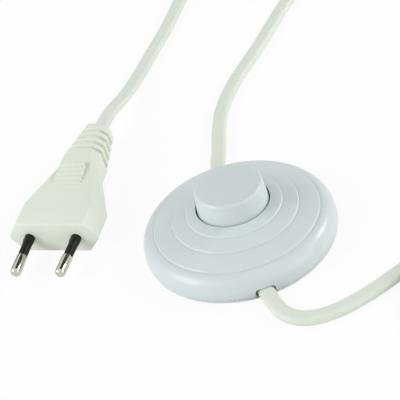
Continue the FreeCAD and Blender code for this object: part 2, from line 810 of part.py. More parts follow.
def make_ties(x, y, angles):
    """Two flat ties, each closed round a coil's section."""
    outer = Part.Face(Part.Wire(rounded_loop(coil_half_width + tie_thickness, 0, coil_top_z + tie_thickness,
                                             coil_corner + tie_thickness, coil_middle_radius)))
    inner = Part.Face(Part.Wire(rounded_loop(coil_half_width, tie_thickness, coil_top_z, coil_corner,
                                             coil_middle_radius)))
    half_turn = math.degrees(tie_width / 2 / coil_middle_radius)
    band = outer.cut(inner).revolve(V(0, 0, 0), UP, 2 * half_turn)
    return Part.makeCompound([moved(turned_about_z(band, angle - half_turn), x, y, 0) for angle in angles])


def tail_core(side, far_points):
    """One insulated core of the lamp cord's stripped end, and its bared copper."""
    end, before = V(*lamp_tail_points[-1]), V(*lamp_tail_points[-2])
    heading = (end - before).normalize()
    start = end + heading.cross(UP) * (side * core_spread)
    points = [tuple(start), tuple(start + heading * tail_straight), *far_points]
    copper_start = V(*points[-1])
    copper_way = (copper_start - V(*points[-2])).normalize()
    copper = Part.makeCylinder(copper_radius, tail_copper_length, copper_start, copper_way)
    return round_core(points, core_radius, "tail core"), copper


plug_exit = plug_place.multVec(V(plug_length + cord_meet_gap, 0, 0))
plug_exit_way = plug_place.Rotation.multVec(V(1, 0, 0))
first_point = plug_exit + plug_exit_way * (2 * cord_width)
supply_coil = make_coil(supply_coil_x, supply_coil_y)
lamp_coil = make_coil(lamp_coil_x, lamp_coil_y)
plug_route = [tuple(plug_exit), tuple(first_point), *plug_lead_points]
supply_space = coil_space(supply_coil_x, supply_coil_y)
lamp_space = coil_space(lamp_coil_x, lamp_coil_y)
plug_lead = flat_cord(plug_route, "plug lead").cut(supply_space)
inlet_lead = flat_cord(inlet_lead_points, "inlet lead").cut(supply_space)
lamp_lead = flat_cord(lamp_lead_points, "lamp lead").cut(lamp_space)
lamp_tail = flat_cord(lamp_tail_points, "lamp tail")
tail_cores = [tail_core(-1, tail_live_points), tail_core(1, tail_neutral_points)]
live_mouth = contact_circle + terminal_length / 2
neutral_mouth = neutral_length / 2
live_contact = make_live_contact()
live_core = round_core(core_points(1, live_mouth), core_radius, "live core")
neutral_core = round_core(core_points(-1, neutral_mouth), core_radius, "neutral core")
cord_clamp = make_clamp()

nodes = {
    "cover_shell": make_cover(),
    "base_plate": make_base(),
    "push_button": make_button(),
    "ratchet_rotor": make_rotor(),
    "return_spring": make_spring(),
    "contact_bridge": make_bridge(),
    "supply_live_contact": live_contact,
    "lamp_live_contact": mirrored_y(live_contact),
    "neutral_connector": make_neutral_connector(),
    "terminal_screws": make_terminal_screws(),
    "supply_cord_clamp": cord_clamp,
    "lamp_cord_clamp": mirrored_y(cord_clamp),
    "clamp_screws": make_clamp_screws(),
    "housing_screws": make_housing_screws(),
    "supply_live_core": live_core,
    "supply_neutral_core": neutral_core,
    "lamp_live_core": mirrored_y(live_core),
    "lamp_neutral_core": mirrored_y(neutral_core),
    "copper_ends": make_copper_ends(),
    "plug_body": on_plug(make_plug_body()),
    "left_pin": make_pin(1),
    "right_pin": make_pin(-1),
    "left_pin_sleeve": make_sleeve(1),
    "right_pin_sleeve": make_sleeve(-1),
    "plug_lead": plug_lead,
    "supply_coil": supply_coil,
    "supply_coil_ties": make_ties(supply_coil_x, supply_coil_y, supply_tie_angles),
    "inlet_lead": inlet_lead,
    "lamp_lead": lamp_lead,
    "lamp_coil": lamp_coil,
    "lamp_coil_ties": make_ties(lamp_coil_x, lamp_coil_y, lamp_tie_angles),
    "lamp_tail": lamp_tail,
    "tail_live_core": tail_cores[0][0],
    "tail_neutral_core": tail_cores[1][0],
    "tail_copper_ends": Part.makeCompound([copper for _, copper in tail_cores]),
}

os.makedirs("parts", exist_ok=True)
for name, shape in nodes.items():
    shape.exportStep(os.path.join("parts", name + ".step"))
    print(name, "solids", len(shape.Solids), "valid", shape.isValid(), "volume", round(shape.Volume, 2),
          "low z", round(shape.BoundBox.ZMin, 3))
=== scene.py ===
# %% [markdown]
# # A lamp foot switch on a flat cord
#
# The object is a round floor switch in the middle of a flat two-core cord. A moulded two-pin plug ends
# one side of the cord, and the other side ends in stripped cores for a lamp. The CAD model gives every
# size. This script loads it, builds the visible pieces with Blender's own tools and paints them.

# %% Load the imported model
import bmesh
import bpy
import json
import math
from mathutils import Euler, Matrix, Vector

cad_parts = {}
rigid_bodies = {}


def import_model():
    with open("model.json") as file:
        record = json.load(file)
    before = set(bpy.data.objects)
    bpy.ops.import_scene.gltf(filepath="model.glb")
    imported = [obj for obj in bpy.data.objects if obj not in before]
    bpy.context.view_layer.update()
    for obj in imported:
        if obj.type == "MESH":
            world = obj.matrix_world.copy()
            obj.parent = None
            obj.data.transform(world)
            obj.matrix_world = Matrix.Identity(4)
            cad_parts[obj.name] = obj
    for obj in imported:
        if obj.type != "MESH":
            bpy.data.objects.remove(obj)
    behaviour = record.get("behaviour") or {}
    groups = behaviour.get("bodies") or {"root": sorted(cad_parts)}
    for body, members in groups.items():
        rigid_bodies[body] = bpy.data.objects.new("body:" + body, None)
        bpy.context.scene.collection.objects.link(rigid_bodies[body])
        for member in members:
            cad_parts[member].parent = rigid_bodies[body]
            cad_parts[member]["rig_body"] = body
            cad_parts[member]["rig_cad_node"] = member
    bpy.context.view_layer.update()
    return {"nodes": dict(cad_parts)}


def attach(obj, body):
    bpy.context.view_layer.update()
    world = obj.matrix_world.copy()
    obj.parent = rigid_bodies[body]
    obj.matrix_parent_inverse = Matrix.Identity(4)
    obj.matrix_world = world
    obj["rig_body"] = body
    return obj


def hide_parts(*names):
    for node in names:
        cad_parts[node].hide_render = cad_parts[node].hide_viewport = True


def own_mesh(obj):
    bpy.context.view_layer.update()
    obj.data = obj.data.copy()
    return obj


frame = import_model()
MM = 0.001

# %% [markdown]
# ## The camera
#
# The photo was taken with a long lens from well above the floor, and the camera was rolled to one side.
# The lens and place below were fitted to the rings of the switch. A track-to constraint can't roll a
# camera, so the view is set by a matrix whose columns are its right, up and backward directions.

# %% Camera
VIEW_RIGHT = Vector((0.94863, -0.2252, -0.2220))
VIEW_UP = Vector((0.3129, 0.56632, 0.7625))
VIEW_BACK = Vector((-0.04598, -0.79285, 0.6077))
CAMERA_AT = (-0.03468, -0.41308, 0.33830)
bpy.ops.object.camera_add()
camera = bpy.context.active_object
camera.name = "photo_camera"
camera.matrix_world = Matrix((VIEW_RIGHT, VIEW_UP, VIEW_BACK)).transposed().to_4x4()
camera.location = CAMERA_AT
camera.data.lens = 135.0
camera.data.sensor_width = 36.0
camera.data.clip_start = 0.01
camera.data.clip_end = 20.0
bpy.context.scene.camera = camera
print("camera at", [round(v, 3) for v in camera.location])

# %% [markdown]
# ## The cords' routes
#
# A cord keeps its length and bends softly where it is led. It could be shaped as a mesh, but a line is
# easier to lead and to measure. The points below are those of the CAD route, in metres: along the floor,
# up into the switch, and up to the coils. They become the control points of a smooth curve.

# %% Routes
FLOOR_Z = 0.0018
INSIDE_Z = 0.0024
COIL_LOW_Z = 0.0024
COIL_HIGH_Z = 0.0060
COIL_TOP_Z = 0.0078
TAIL_Z = 0.0097
TAIL_CORE_Z = 0.0090

plug_lead = [
    (-0.037104, 0.076537, 0.009887), (-0.031594, 0.086727, 0.010495), (-0.0234, 0.1014, 0.0056),
    (-0.0154, 0.1170, 0.0024), (-0.0064, 0.1324, FLOOR_Z), (0.0044, 0.1490, FLOOR_Z),
    (0.0152, 0.1690, FLOOR_Z), (0.0244, 0.1834, FLOOR_Z), (0.0346, 0.1946, FLOOR_Z),
    (0.0456, 0.2032, COIL_LOW_Z),
]
inlet_lead = [
    (0.0765, 0.1490, COIL_HIGH_Z), (0.0665, 0.1462, 0.0042), (0.0576, 0.1408, 0.0022),
    (0.0448, 0.1236, FLOOR_Z), (0.0336, 0.1084, FLOOR_Z), (0.0219, 0.0944, FLOOR_Z),
    (0.0124, 0.0786, FLOOR_Z), (0.0076, 0.0646, FLOOR_Z), (0.0046, 0.0516, FLOOR_Z),
    (0.0011, 0.0400, INSIDE_Z), (0.0, 0.0295, INSIDE_Z), (0.0, 0.0200, INSIDE_Z),
]
lamp_lead = [
    (0.0, -0.0200, INSIDE_Z), (0.0, -0.0300, INSIDE_Z), (0.0006, -0.0395, INSIDE_Z),
    (0.0028, -0.0480, FLOOR_Z), (0.0090, -0.0534, FLOOR_Z), (0.0190, -0.0542, FLOOR_Z),
    (0.0315, -0.0510, FLOOR_Z), (0.0440, -0.0457, FLOOR_Z), (0.0534, -0.0416, FLOOR_Z),
    (0.0602, -0.0378, COIL_LOW_Z),
]
lamp_tail = [(0.1107, -0.0533, TAIL_Z), (0.1118, -0.0631, TAIL_Z), (0.1101, -0.0724, TAIL_Z)]
print("lead points", len(plug_lead), len(inlet_lead), len(lamp_lead), len(lamp_tail))

# %% [markdown]
# ## The coils
#
# The length that the photo doesn't show is wound up and tied, as for storage. The turns could be separate
# rings, but a real coil is one length of cord, so they are more points of the same line. It runs round
# the outer ring, steps in to the inner one, climbs to the second layer and steps out again.

# %% Coils
SUPPLY_COIL_AT = (0.0740, 0.1830)
LAMP_COIL_AT = (0.0806, -0.0642)
OUTER_RING = 0.0331
INNER_RING = 0.0273
TURN_STEP = 15.0
# Angles between which the cord steps in, climbs and steps out, and where the lamp's end rises onto the top
STEP_IN = (310, 350)
CLIMB = (640, 680)
STEP_OUT = (1000, 1040)
LAMP_END_RISE = (1120, 1155)
# Angle at which each coil starts, and how far it is wound
SUPPLY_START, SUPPLY_WOUND = 125.0, 1276.0
LAMP_START, LAMP_WOUND = 119.4, 1155.0


def eased(angle, start, end):
    """Share of a change between two angles, soft at both ends."""
    share = min(1.0, max(0.0, (angle - start) / (end - start)))
    return share * share * (3 - 2 * share)


def coil_turns(centre, start, wound, end_rise=None):
    """Control points of a coil wound clockwise: outer low, inner low, inner high, outer high."""
    points = []
    shrink = math.cos(math.radians(TURN_STEP / 2))
    for step in range(int(wound // TURN_STEP) + 1):
        angle = step * TURN_STEP
        inward = eased(angle, *STEP_IN) - eased(angle, *STEP_OUT)
        radius = (OUTER_RING + (INNER_RING - OUTER_RING) * inward) / shrink
        height = COIL_LOW_Z + (COIL_HIGH_Z - COIL_LOW_Z) * eased(angle, *CLIMB)
        if end_rise:
            height += (TAIL_Z - COIL_HIGH_Z) * eased(angle, *end_rise)
        turn = math.radians(start - angle)
        points.append((centre[0] + radius * math.cos(turn), centre[1] + radius * math.sin(turn), height))
    return points


supply_coil = coil_turns(SUPPLY_COIL_AT, SUPPLY_START, SUPPLY_WOUND)
lamp_coil = coil_turns(LAMP_COIL_AT, LAMP_START, LAMP_WOUND, LAMP_END_RISE)
supply_route = plug_lead + supply_coil + inlet_lead
lamp_route = lamp_lead + lamp_coil + lamp_tail
print("route points", len(supply_route), len(lamp_route))

# %% [markdown]
# ## The flat section
#
# Flat flexible cord is wider than it is high: two cores lie side by side under one jacket. Its section has
# two flats and two half rounds. A curve can take another curve as its section, so this one is drawn once
# and swept along both routes.

# %% Flat section
CORD_WIDTH = 0.0058
CORD_THICKNESS = 0.0036
HALF_ROUND_STEPS = 10


def flat_section():
    """Closed curve of the cord's section: two flats joined by half rounds."""
    bend = CORD_THICKNESS / 2
    flat = CORD_WIDTH / 2 - bend
    curve = bpy.data.curves.new("cord_section", "CURVE")
    curve.dimensions = "2D"
    spline = curve.splines.new("POLY")
    outline = []
    for side, start in ((1, -90), (-1, 90)):
        for step in range(HALF_ROUND_STEPS + 1):
            turn = math.radians(start + 180 * step / HALF_ROUND_STEPS)
            outline.append((side * flat + bend * math.cos(turn), bend * math.sin(turn)))
    spline.points.add(len(outline) - 1)
    for point, (x, y) in zip(spline.points, outline):
        point.co = (x, y, 0, 1)
    spline.use_cyclic_u = True
    obj = bpy.data.objects.new("cord_section", curve)
    bpy.context.collection.objects.link(obj)
    obj.hide_render = True
    return obj


section = flat_section()
print("section points", len(section.data.splines[0].points))

# %% [markdown]
# ## The cords
#
# The line of each cord is a NURBS curve. The points along it are taken before the section is swept along it.
# Z-up twist keeps the flat side down on the floor, where the usual twist would let it roll over in the
# bends. The finished curve is converted to a mesh.

# %% Cords
CURVE_ORDER = 3
CURVE_STEPS = 10
WIRE_SMOOTH = 50


def pick(*objects):
    """Select only these objects, the first one active."""
    bpy.ops.object.select_all(action="DESELECT")
    for obj in objects:
        obj.select_set(True)
    bpy.context.view_layer.objects.active = objects[0]


def smooth(piece, angle):
    """Smooth shading, with edges sharper than an angle kept."""
    pick(piece)
    bpy.ops.object.shade_smooth_by_angle(angle=math.radians(angle))
    return piece


def route_curve(name, points):
    """Smooth line with the route's points as its control points."""
    curve = bpy.data.curves.new(name, "CURVE")
    curve.dimensions = "3D"
    spline = curve.splines.new("NURBS")
    spline.points.add(len(points) - 1)
    for point, place in zip(spline.points, points):
        point.co = (*place, 1)
    spline.order_u = CURVE_ORDER
    spline.use_endpoint_u = True
    curve.resolution_u = CURVE_STEPS
    obj = bpy.data.objects.new(name, curve)
    bpy.context.collection.objects.link(obj)
    return obj


def line_points(obj):
    """Points along a curve that has no bevel yet."""
    bpy.context.view_layer.update()
    line = bpy.data.meshes.new_from_object(obj)
    points = [tuple(v.co) for v in line.vertices]
    bpy.data.meshes.remove(line)
    return points


def swept_mesh(curve_object):
    """Mesh of a curve that has its section, smooth and with closed ends."""
    name = curve_object.name
    curve_object.data.use_fill_caps = True
    pick(curve_object)
    bpy.ops.object.convert(target="MESH")
    piece = bpy.context.active_object
    piece.name = name
    return smooth(piece, WIRE_SMOOTH)


def flat_cord(name, points):
    """Flat cord as a mesh, with the line that it follows."""
    obj = route_curve(name, points)
    path = line_points(obj)
    obj.data.twist_mode = "Z_UP"
    obj.data.bevel_mode = "OBJECT"
    obj.data.bevel_object = section
    return swept_mesh(obj), path


supply_cord, supply_path = flat_cord("supply_cord", supply_route)
lamp_cord, lamp_path = flat_cord("lamp_cord", lamp_route)
bpy.data.objects.remove(section)

# %% [markdown]
# ## Turning and rounding
#
# Most pieces of the switch are round about one axis, like work on a lathe. A stack of cylinders would
# leave seams, so a single vertex is extruded into a profile and spun about Z. Ring edges can then be
# picked by their radius and height and bevelled. The sizes of turned and cut pieces are in millimetres.

# %% Turning and rounding
TURNED_STEPS = 180
MERGE_REACH = 1e-6
RING_REACH = 0.02
EDGE_RUN = 1.0


def apply_place(obj):
    """Put an object's place, turn and scale into its mesh."""
    pick(obj)
    bpy.ops.object.transform_apply(location=True, rotation=True, scale=True)
    return obj


def merge_doubles():
    """Join the points that lie on one another, in edit mode."""
    bpy.ops.mesh.select_all(action="SELECT")
    bpy.ops.mesh.remove_doubles(threshold=MERGE_REACH)
    bpy.ops.mesh.select_all(action="SELECT")


def turned(name, profile, steps=TURNED_STEPS):
    """Spin a closed profile of (radius, height) about Z."""
    bpy.ops.object.select_all(action="DESELECT")
    bpy.ops.mesh.primitive_plane_add(size=MM)
    obj = bpy.context.active_object
    obj.name = name
    bpy.ops.object.mode_set(mode="EDIT")
    bpy.ops.mesh.select_mode(type="VERT")
    bpy.ops.mesh.select_all(action="SELECT")
    bpy.ops.mesh.merge(type="CENTER")
    bpy.ops.transform.translate(value=(profile[0][0] * MM, 0, profile[0][1] * MM))
    walk = list(zip(profile, profile[1:] + profile[:1]))
    if profile[0][0] == 0 and profile[-1][0] == 0:
        walk = walk[:-1]
    for (r0, z0), (r1, z1) in walk:
        shift = ((r1 - r0) * MM, 0, (z1 - z0) * MM)
        bpy.ops.mesh.extrude_region_move(TRANSFORM_OT_translate={"value": shift})
    merge_doubles()
    bpy.ops.mesh.spin(steps=steps, angle=2 * math.pi, center=(0, 0, 0), axis=(0, 0, 1))
    merge_doubles()
    bpy.ops.mesh.normals_make_consistent(inside=False)
    bpy.ops.object.mode_set(mode="OBJECT")
    return obj


def bevel_edges(obj, wanted, width, segments):
    """Bevel the edges whose two ends pass a test."""
    pick(obj)
    bpy.ops.object.mode_set(mode="EDIT")
    bpy.ops.mesh.select_mode(type="EDGE")
    bpy.ops.mesh.select_all(action="DESELECT")
    mesh = bmesh.from_edit_mesh(obj.data)
    for edge in mesh.edges:
        a, b = (v.co / MM for v in edge.verts)
        edge.select_set(wanted(a, b))
    bmesh.update_edit_mesh(obj.data)
    bpy.ops.mesh.bevel(offset=width * MM, segments=segments, profile=0.5, affect="EDGES", clamp_overlap=True)
    bpy.ops.object.mode_set(mode="OBJECT")


def round_rings(obj, rings, width, segments):
    """Bevel the ring edges at these radii and heights."""
    def on_ring(end, radius, height):
        return abs(end.xy.length - radius) < RING_REACH and abs(end.z - height) < RING_REACH

    def wanted(a, b):
        return any(on_ring(a, *ring) and on_ring(b, *ring) for ring in rings)

    bevel_edges(obj, wanted, width, segments)


def runs_along_y(a, b):
    """Whether the two ends of an edge lie apart along Y."""
    return abs(a.y - b.y) > EDGE_RUN


print("steps in one turn", TURNED_STEPS)

# %% [markdown]
# ## The cover
#
# The cover is a shallow dome of moulded plastic. From the floor up it has a short upright wall, a round
# shoulder and a sloping tread with three low steps, and its middle is a hole for the button. The profile
# below is walked once round the wall's section, outside and inside, because one closed profile
# gives a watertight wall. A shallow groove at the foot of each step reads as a fine dark line.

# %% Cover profile
COVER_RADIUS = 35.0
WALL = 2.0
BASE_TOP = 2.0
SHOULDER_Z = 4.0
SHOULDER_RADIUS = 6.0
SHOULDER_STEPS = 10
SLOPE = math.radians(16.0)
RINGS = (29.9, 22.9, 17.4)
STEP_HEIGHT = 0.65
STEP_RUN = 0.2
FOOT_GROOVE = 0.1
HOLE_RADIUS = 13.35
COLLAR_WALL = 1.8
COLLAR_DEPTH = 4.2
SHOULDER_MIDDLE = COVER_RADIUS - SHOULDER_RADIUS


def shoulder(radius):
    """Points of the shoulder's arc, from the upright wall to the tread."""
    end = math.pi / 2 - SLOPE
    turns = [end * step / SHOULDER_STEPS for step in range(SHOULDER_STEPS + 1)]
    return [(SHOULDER_MIDDLE + radius * math.cos(t), SHOULDER_Z + radius * math.sin(t)) for t in turns]


outer_arc = shoulder(SHOULDER_RADIUS)
inner_arc = shoulder(SHOULDER_RADIUS - WALL)
r, z = outer_arc[-1]
tread, step_edges = [], []
for ring in RINGS:
    z += (r - ring - STEP_RUN) * math.tan(SLOPE)
    tread.append((ring + STEP_RUN + FOOT_GROOVE, z - FOOT_GROOVE * math.tan(SLOPE)))
    tread.append((ring + STEP_RUN, z - FOOT_GROOVE))
    z += STEP_HEIGHT
    tread.append((ring, z))
    step_edges.append((ring, z))
    r = ring
RIM_Z = z + (r - HOLE_RADIUS) * math.tan(SLOPE)
COLLAR_Z = RIM_Z - COLLAR_DEPTH
mean_slope = (RIM_Z - outer_arc[-1][1]) / (outer_arc[-1][0] - HOLE_RADIUS)
collar_outer = HOLE_RADIUS + COLLAR_WALL
ceiling = inner_arc[-1][1] + (inner_arc[-1][0] - collar_outer) * mean_slope
cover_profile = [(COVER_RADIUS, BASE_TOP)] + outer_arc + tread + [
    (HOLE_RADIUS, RIM_Z), (HOLE_RADIUS, COLLAR_Z), (collar_outer, COLLAR_Z), (collar_outer, ceiling)]
cover_profile += inner_arc[::-1] + [(COVER_RADIUS - WALL, BASE_TOP)]
print("rim height", round(RIM_Z, 2), "profile points", len(cover_profile))

# %% [markdown]
# ## Turn and round the cover
#
# On the real cover the steps' upper edges catch the light, because no moulded edge is quite sharp. The
# same edges are rounded here, a little more than the rim of the hole and the foot of the wall. Rounding
# the rings after the spin is quicker than drawing every arc into the profile.

# %% Turned cover
STEP_ROUND = 0.40
RIM_ROUND = 0.35
FOOT_ROUND = 0.25
TURNED_SMOOTH = 32
cover = turned("cover", cover_profile)
round_rings(cover, step_edges, STEP_ROUND, segments=4)
round_rings(cover, [(HOLE_RADIUS, RIM_Z)], RIM_ROUND, segments=3)
round_rings(cover, [(COVER_RADIUS, BASE_TOP)], FOOT_ROUND, segments=2)
print("turned cover faces", len(cover.data.polygons))

# %% [markdown]
# ## Openings for the cord
#
# The cord goes in at the back of the cover and out at its front, each time through an arched slot in the
# wall. A slot could be drawn into the mesh, but the wall is curved there, so a bar with two rounded
# edges is subtracted with the Boolean modifier.

# %% Cord openings
OPENING_HALF = 3.6
OPENING_TOP = 4.5
OPENING_ROUND = 1.4
OPENING_INNER = 22.0
OPENING_OUTER = 39.0
OPENING_LOW = -1.0


def block(low, high):
    """Box between two corners."""
    bpy.ops.object.select_all(action="DESELECT")
    bpy.ops.mesh.primitive_cube_add(size=1)
    obj = bpy.context.active_object
    obj.location = [(a + b) / 2 * MM for a, b in zip(low, high)]
    obj.scale = [(b - a) * MM for a, b in zip(low, high)]
    return apply_place(obj)


def combine(piece, tool, operation):
    """Cut a tool out of a piece, or join it on, with the Boolean modifier."""
    pick(piece)
    change = piece.modifiers.new("combine", "BOOLEAN")
    change.operation = operation
    change.solver = "EXACT"
    change.object = tool
    bpy.ops.object.modifier_apply(modifier=change.name)
    bpy.data.objects.remove(tool)


def cord_opening(side):
    """Tool for the cord's opening in one wall: a bar with its two upper edges rounded."""
    near, far = sorted((side * OPENING_INNER, side * OPENING_OUTER))
    tool = block((-OPENING_HALF, near, OPENING_LOW), (OPENING_HALF, far, OPENING_TOP))
    bevel_edges(tool, lambda a, b: min(a.z, b.z) > 0 and runs_along_y(a, b), OPENING_ROUND, segments=6)
    return tool


for side in (-1, 1):
    combine(cover, cord_opening(side), "DIFFERENCE")
smooth(cover, TURNED_SMOOTH)
print("cover faces", len(cover.data.polygons))

# %% [markdown]
# ## The push button
#
# The button is a tapered cap with a rounded top edge. Under the cover it has a flange that keeps it from
# coming out, and a stem in the middle that drives the switch. Two notches in the flange run on posts of
# the base plate, so the button can't turn. The whole section is turned in one profile, because that keeps
# the cap, flange and stem in one skin. The notches are cut afterwards.

# %% Button
BUTTON_TOP_RADIUS = 12.15
BUTTON_BASE_RADIUS = 13.15
BUTTON_TOP = RIM_Z + 7.8
BUTTON_ROUND = 1.2
BUTTON_WALL = 1.6
BUTTON_ROOF = BUTTON_TOP - 2.0
BUTTON_STEPS = 144
FLANGE_TOP = COLLAR_Z - 0.2
FLANGE_BOTTOM = FLANGE_TOP - 1.4
FLANGE_RADIUS = BUTTON_BASE_RADIUS + 0.9
STEM_RADIUS = 3.2
STEM_BOTTOM = 9.6
button = turned("button", [
    (0, BUTTON_TOP), (BUTTON_TOP_RADIUS, BUTTON_TOP), (BUTTON_BASE_RADIUS, FLANGE_TOP),
    (FLANGE_RADIUS, FLANGE_TOP), (FLANGE_RADIUS, FLANGE_BOTTOM),
    (BUTTON_BASE_RADIUS - BUTTON_WALL, FLANGE_BOTTOM), (BUTTON_TOP_RADIUS - BUTTON_WALL, BUTTON_ROOF),
    (STEM_RADIUS, BUTTON_ROOF), (STEM_RADIUS, STEM_BOTTOM), (0, STEM_BOTTOM)], BUTTON_STEPS)
round_rings(button, [(BUTTON_TOP_RADIUS, BUTTON_TOP)], BUTTON_ROUND, segments=6)
print("button top", round(BUTTON_TOP, 2))

# %% [markdown]
# ## Notches and lugs
#
# Inside the real switch two lugs on the stem run in slanted slots and turn the rotor at each press. They
# are the two ends of one cylinder through the stem, joined on with a Boolean, and the flange's notches are
# two boxes cut out.

# %% Notches and lugs
NOTCH_INNER, NOTCH_OUTER = 13.05, 16.0
NOTCH_LOW, NOTCH_HIGH = 8.0, 12.6
NOTCH_HALF = 1.6
LUG_RADIUS = 0.8
LUG_REACH = 4.8
LUG_Z = 11.2
LUG_SIDES = 24
for side in (1, -1):
    near, far = sorted((side * NOTCH_INNER, side * NOTCH_OUTER))
    combine(button, block((near, -NOTCH_HALF, NOTCH_LOW), (far, NOTCH_HALF, NOTCH_HIGH)), "DIFFERENCE")
bpy.ops.object.select_all(action="DESELECT")
bpy.ops.mesh.primitive_cylinder_add(vertices=LUG_SIDES, radius=LUG_RADIUS * MM, depth=2 * LUG_REACH * MM)
lugs = bpy.context.active_object
lugs.rotation_euler = (math.radians(90), 0, 0)
lugs.location = (0, 0, LUG_Z * MM)
combine(button, apply_place(lugs), "UNION")
smooth(button, TURNED_SMOOTH)
print("button faces", len(button.data.polygons))

# %% [markdown]
# ## The base plate
#
# The base plate shows only as a thin band under the cover and from below, but it carries posts, channels
# and screw recesses. Its CAD mesh has all of them as loose triangles, so nothing needs to be modelled
# again. A merged copy gets smooth shading along the round edge, and the CAD node itself stays as it is.

# %% Base plate
FLAT_SMOOTH = 30


def merged_copy(node, name, angle):
    """Copy of a CAD node with its triangles joined and its round faces smooth."""
    obj = frame["nodes"][node].copy()
    obj.data = obj.data.copy()
    obj.parent = None
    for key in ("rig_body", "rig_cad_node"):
        del obj[key]
    obj.name = name
    obj.data.materials.clear()
    bpy.context.collection.objects.link(obj)
    pick(obj)
    bpy.ops.object.mode_set(mode="EDIT")
    merge_doubles()
    bpy.ops.object.mode_set(mode="OBJECT")
    return smooth(obj, angle)


base = merged_copy("base_plate", "base", FLAT_SMOOTH)
print("base faces", len(base.data.polygons))

# %% [markdown]
# ## The return spring
#
# A coil spring stands between the rotor's disc and the button's roof and lifts the button after each press.
# Its CAD shape is right, so a joined copy of it stands in.

# %% Return spring
SPRING_SMOOTH = 60
spring = merged_copy("return_spring", "spring", SPRING_SMOOTH)

# %% [markdown]
# ## The plug
#
# A flat two-pin plug is moulded onto the cord in soft PVC. Its section has eight corners: a flat top and
# bottom, sloping bevels and narrow sides. A box with bevels can't narrow to a waist, so the section is
# extruded from the face backwards, and after each extrusion its corners are scaled in two groups. The
# strain relief gets its ribs in the same way, by stepping in and out.

# %% Plug sections
# Width, height, flat width and side height of a section, and distances behind the plug's face
PLUG_FACE = (35.3, 13.7, 26.1, 1.8)
PLUG_WAIST = (18.0, 12.4, 12.8, 5.0)
PLUG_SHOULDER = 11.8
WAIST_AT = 32.0
RELIEF_START, RELIEF_END = 40.0, 58.0
RELIEF_FRONT = (15.4, 15.4)
RELIEF_REAR = (11.6, 10.8)
RELIEF_CORNER = 3.2
RIB_FIRST, RIB_PITCH, RIB_COUNT = 41.3, 3.9, 4
RIB_GROOVE, RIB_DEPTH, GROOVE_DRAFT = 1.5, 1.1, 0.25


def relief_size(s, inset=0.0):
    """Section of the strain relief at a distance behind the face."""
    share = (s - RELIEF_START) / (RELIEF_END - RELIEF_START)
    width, height = (a + (b - a) * share - 2 * inset for a, b in zip(RELIEF_FRONT, RELIEF_REAR))
    return width, height, width - 2 * RELIEF_CORNER, height - 2 * RELIEF_CORNER


groove_walk = (
    (0, 0), (GROOVE_DRAFT, RIB_DEPTH), (RIB_GROOVE - GROOVE_DRAFT, RIB_DEPTH), (RIB_GROOVE, 0))
plug_sections = [
    (0.0, PLUG_FACE), (PLUG_SHOULDER, PLUG_FACE), (WAIST_AT, PLUG_WAIST),
    (RELIEF_START, relief_size(RELIEF_START))]
for rib in range(RIB_COUNT):
    rib_at = RIB_FIRST + rib * RIB_PITCH
    for offset, inset in groove_walk:
        plug_sections.append((rib_at + offset, relief_size(rib_at + offset, inset)))
plug_sections.append((RELIEF_END, relief_size(RELIEF_END)))
print("plug sections", len(plug_sections))

# %% [markdown]
# ## Extrude the plug
#
# The start is a filled circle of eight points, turned to face along X. Each point of a section belongs to
# one of two groups: the ends of the flat top and bottom, or the ends of the sides. Scaling the groups
# one after the other gives every section its own proportions, which one scale for all can't do.

# %% Plug body


def section_corners(mesh):
    """Selected vertices of the newest section, as flat corners and side corners."""
    ring = [v for v in mesh.verts if v.select]
    flats, sides = [], []
    for sy in (-1, 1):
        for sz in (-1, 1):
            pair = [v for v in ring if v.co.y * sy > 0 and v.co.z * sz > 0]
            pair.sort(key=lambda v: abs(v.co.y))
            flats.append(pair[0])
            sides.append(pair[1])
    return ring, flats, sides


def resize_group(mesh, obj, group, x, across, up):
    """Scale one group of corners across and upwards."""
    for v in mesh.verts:
        v.select_set(False)
    for v in group:
        v.select_set(True)
    bmesh.update_edit_mesh(obj.data)
    bpy.ops.transform.resize(value=(1, across, up), center_override=(x * MM, 0, 0))


def plug_loft():
    """Plug body without pads: an eight-sided section extruded backwards and scaled at each step."""
    bpy.ops.object.select_all(action="DESELECT")
    bpy.ops.mesh.primitive_circle_add(vertices=8, radius=MM, fill_type="NGON")
    obj = bpy.context.active_object
    obj.name = "plug"
    for turn in ((0, 0, math.radians(22.5)), (0, math.radians(90), 0)):
        obj.rotation_euler = turn
        apply_place(obj)
    bpy.ops.object.mode_set(mode="EDIT")
    bpy.ops.mesh.select_mode(type="VERT")
    bpy.ops.mesh.select_all(action="SELECT")
    at = None
    for s, (width, height, flat, upright) in plug_sections:
        if at is not None:
            bpy.ops.mesh.extrude_region_move(TRANSFORM_OT_translate={"value": ((s - at) * MM, 0, 0)})
        at = s
        mesh = bmesh.from_edit_mesh(obj.data)
        ring, flats, sides = section_corners(mesh)
        wide_y, wide_z = abs(sides[0].co.y) / MM, abs(sides[0].co.z) / MM
        flat_y, flat_z = abs(flats[0].co.y) / MM, abs(flats[0].co.z) / MM
        resize_group(mesh, obj, flats, s, flat / 2 / flat_y, height / 2 / flat_z)
        mesh = bmesh.from_edit_mesh(obj.data)
        resize_group(mesh, obj, sides, s, width / 2 / wide_y, upright / 2 / wide_z)
        for v in ring:
            v.select_set(True)
        mesh.select_flush(True)
        bmesh.update_edit_mesh(obj.data)
    bpy.ops.mesh.select_all(action="SELECT")
    bpy.ops.mesh.normals_make_consistent(inside=False)
    bpy.ops.object.mode_set(mode="OBJECT")
    return obj


plug = plug_loft()
print("plug faces", len(plug.data.polygons), [round(v / MM, 1) for v in plug.dimensions])

# %% [markdown]
# ## Grip pads
#
# A raised pad with cross grooves sits on each flat side of the plug, where a finger and thumb pull it out.
# It rises towards the cord, and the lower one also carries the plug's rear on the floor. A box becomes a
# wedge by moving its rear corners, and five boxes cut the grooves. One pad is modelled, and a copy of it is
# turned over for the other side.

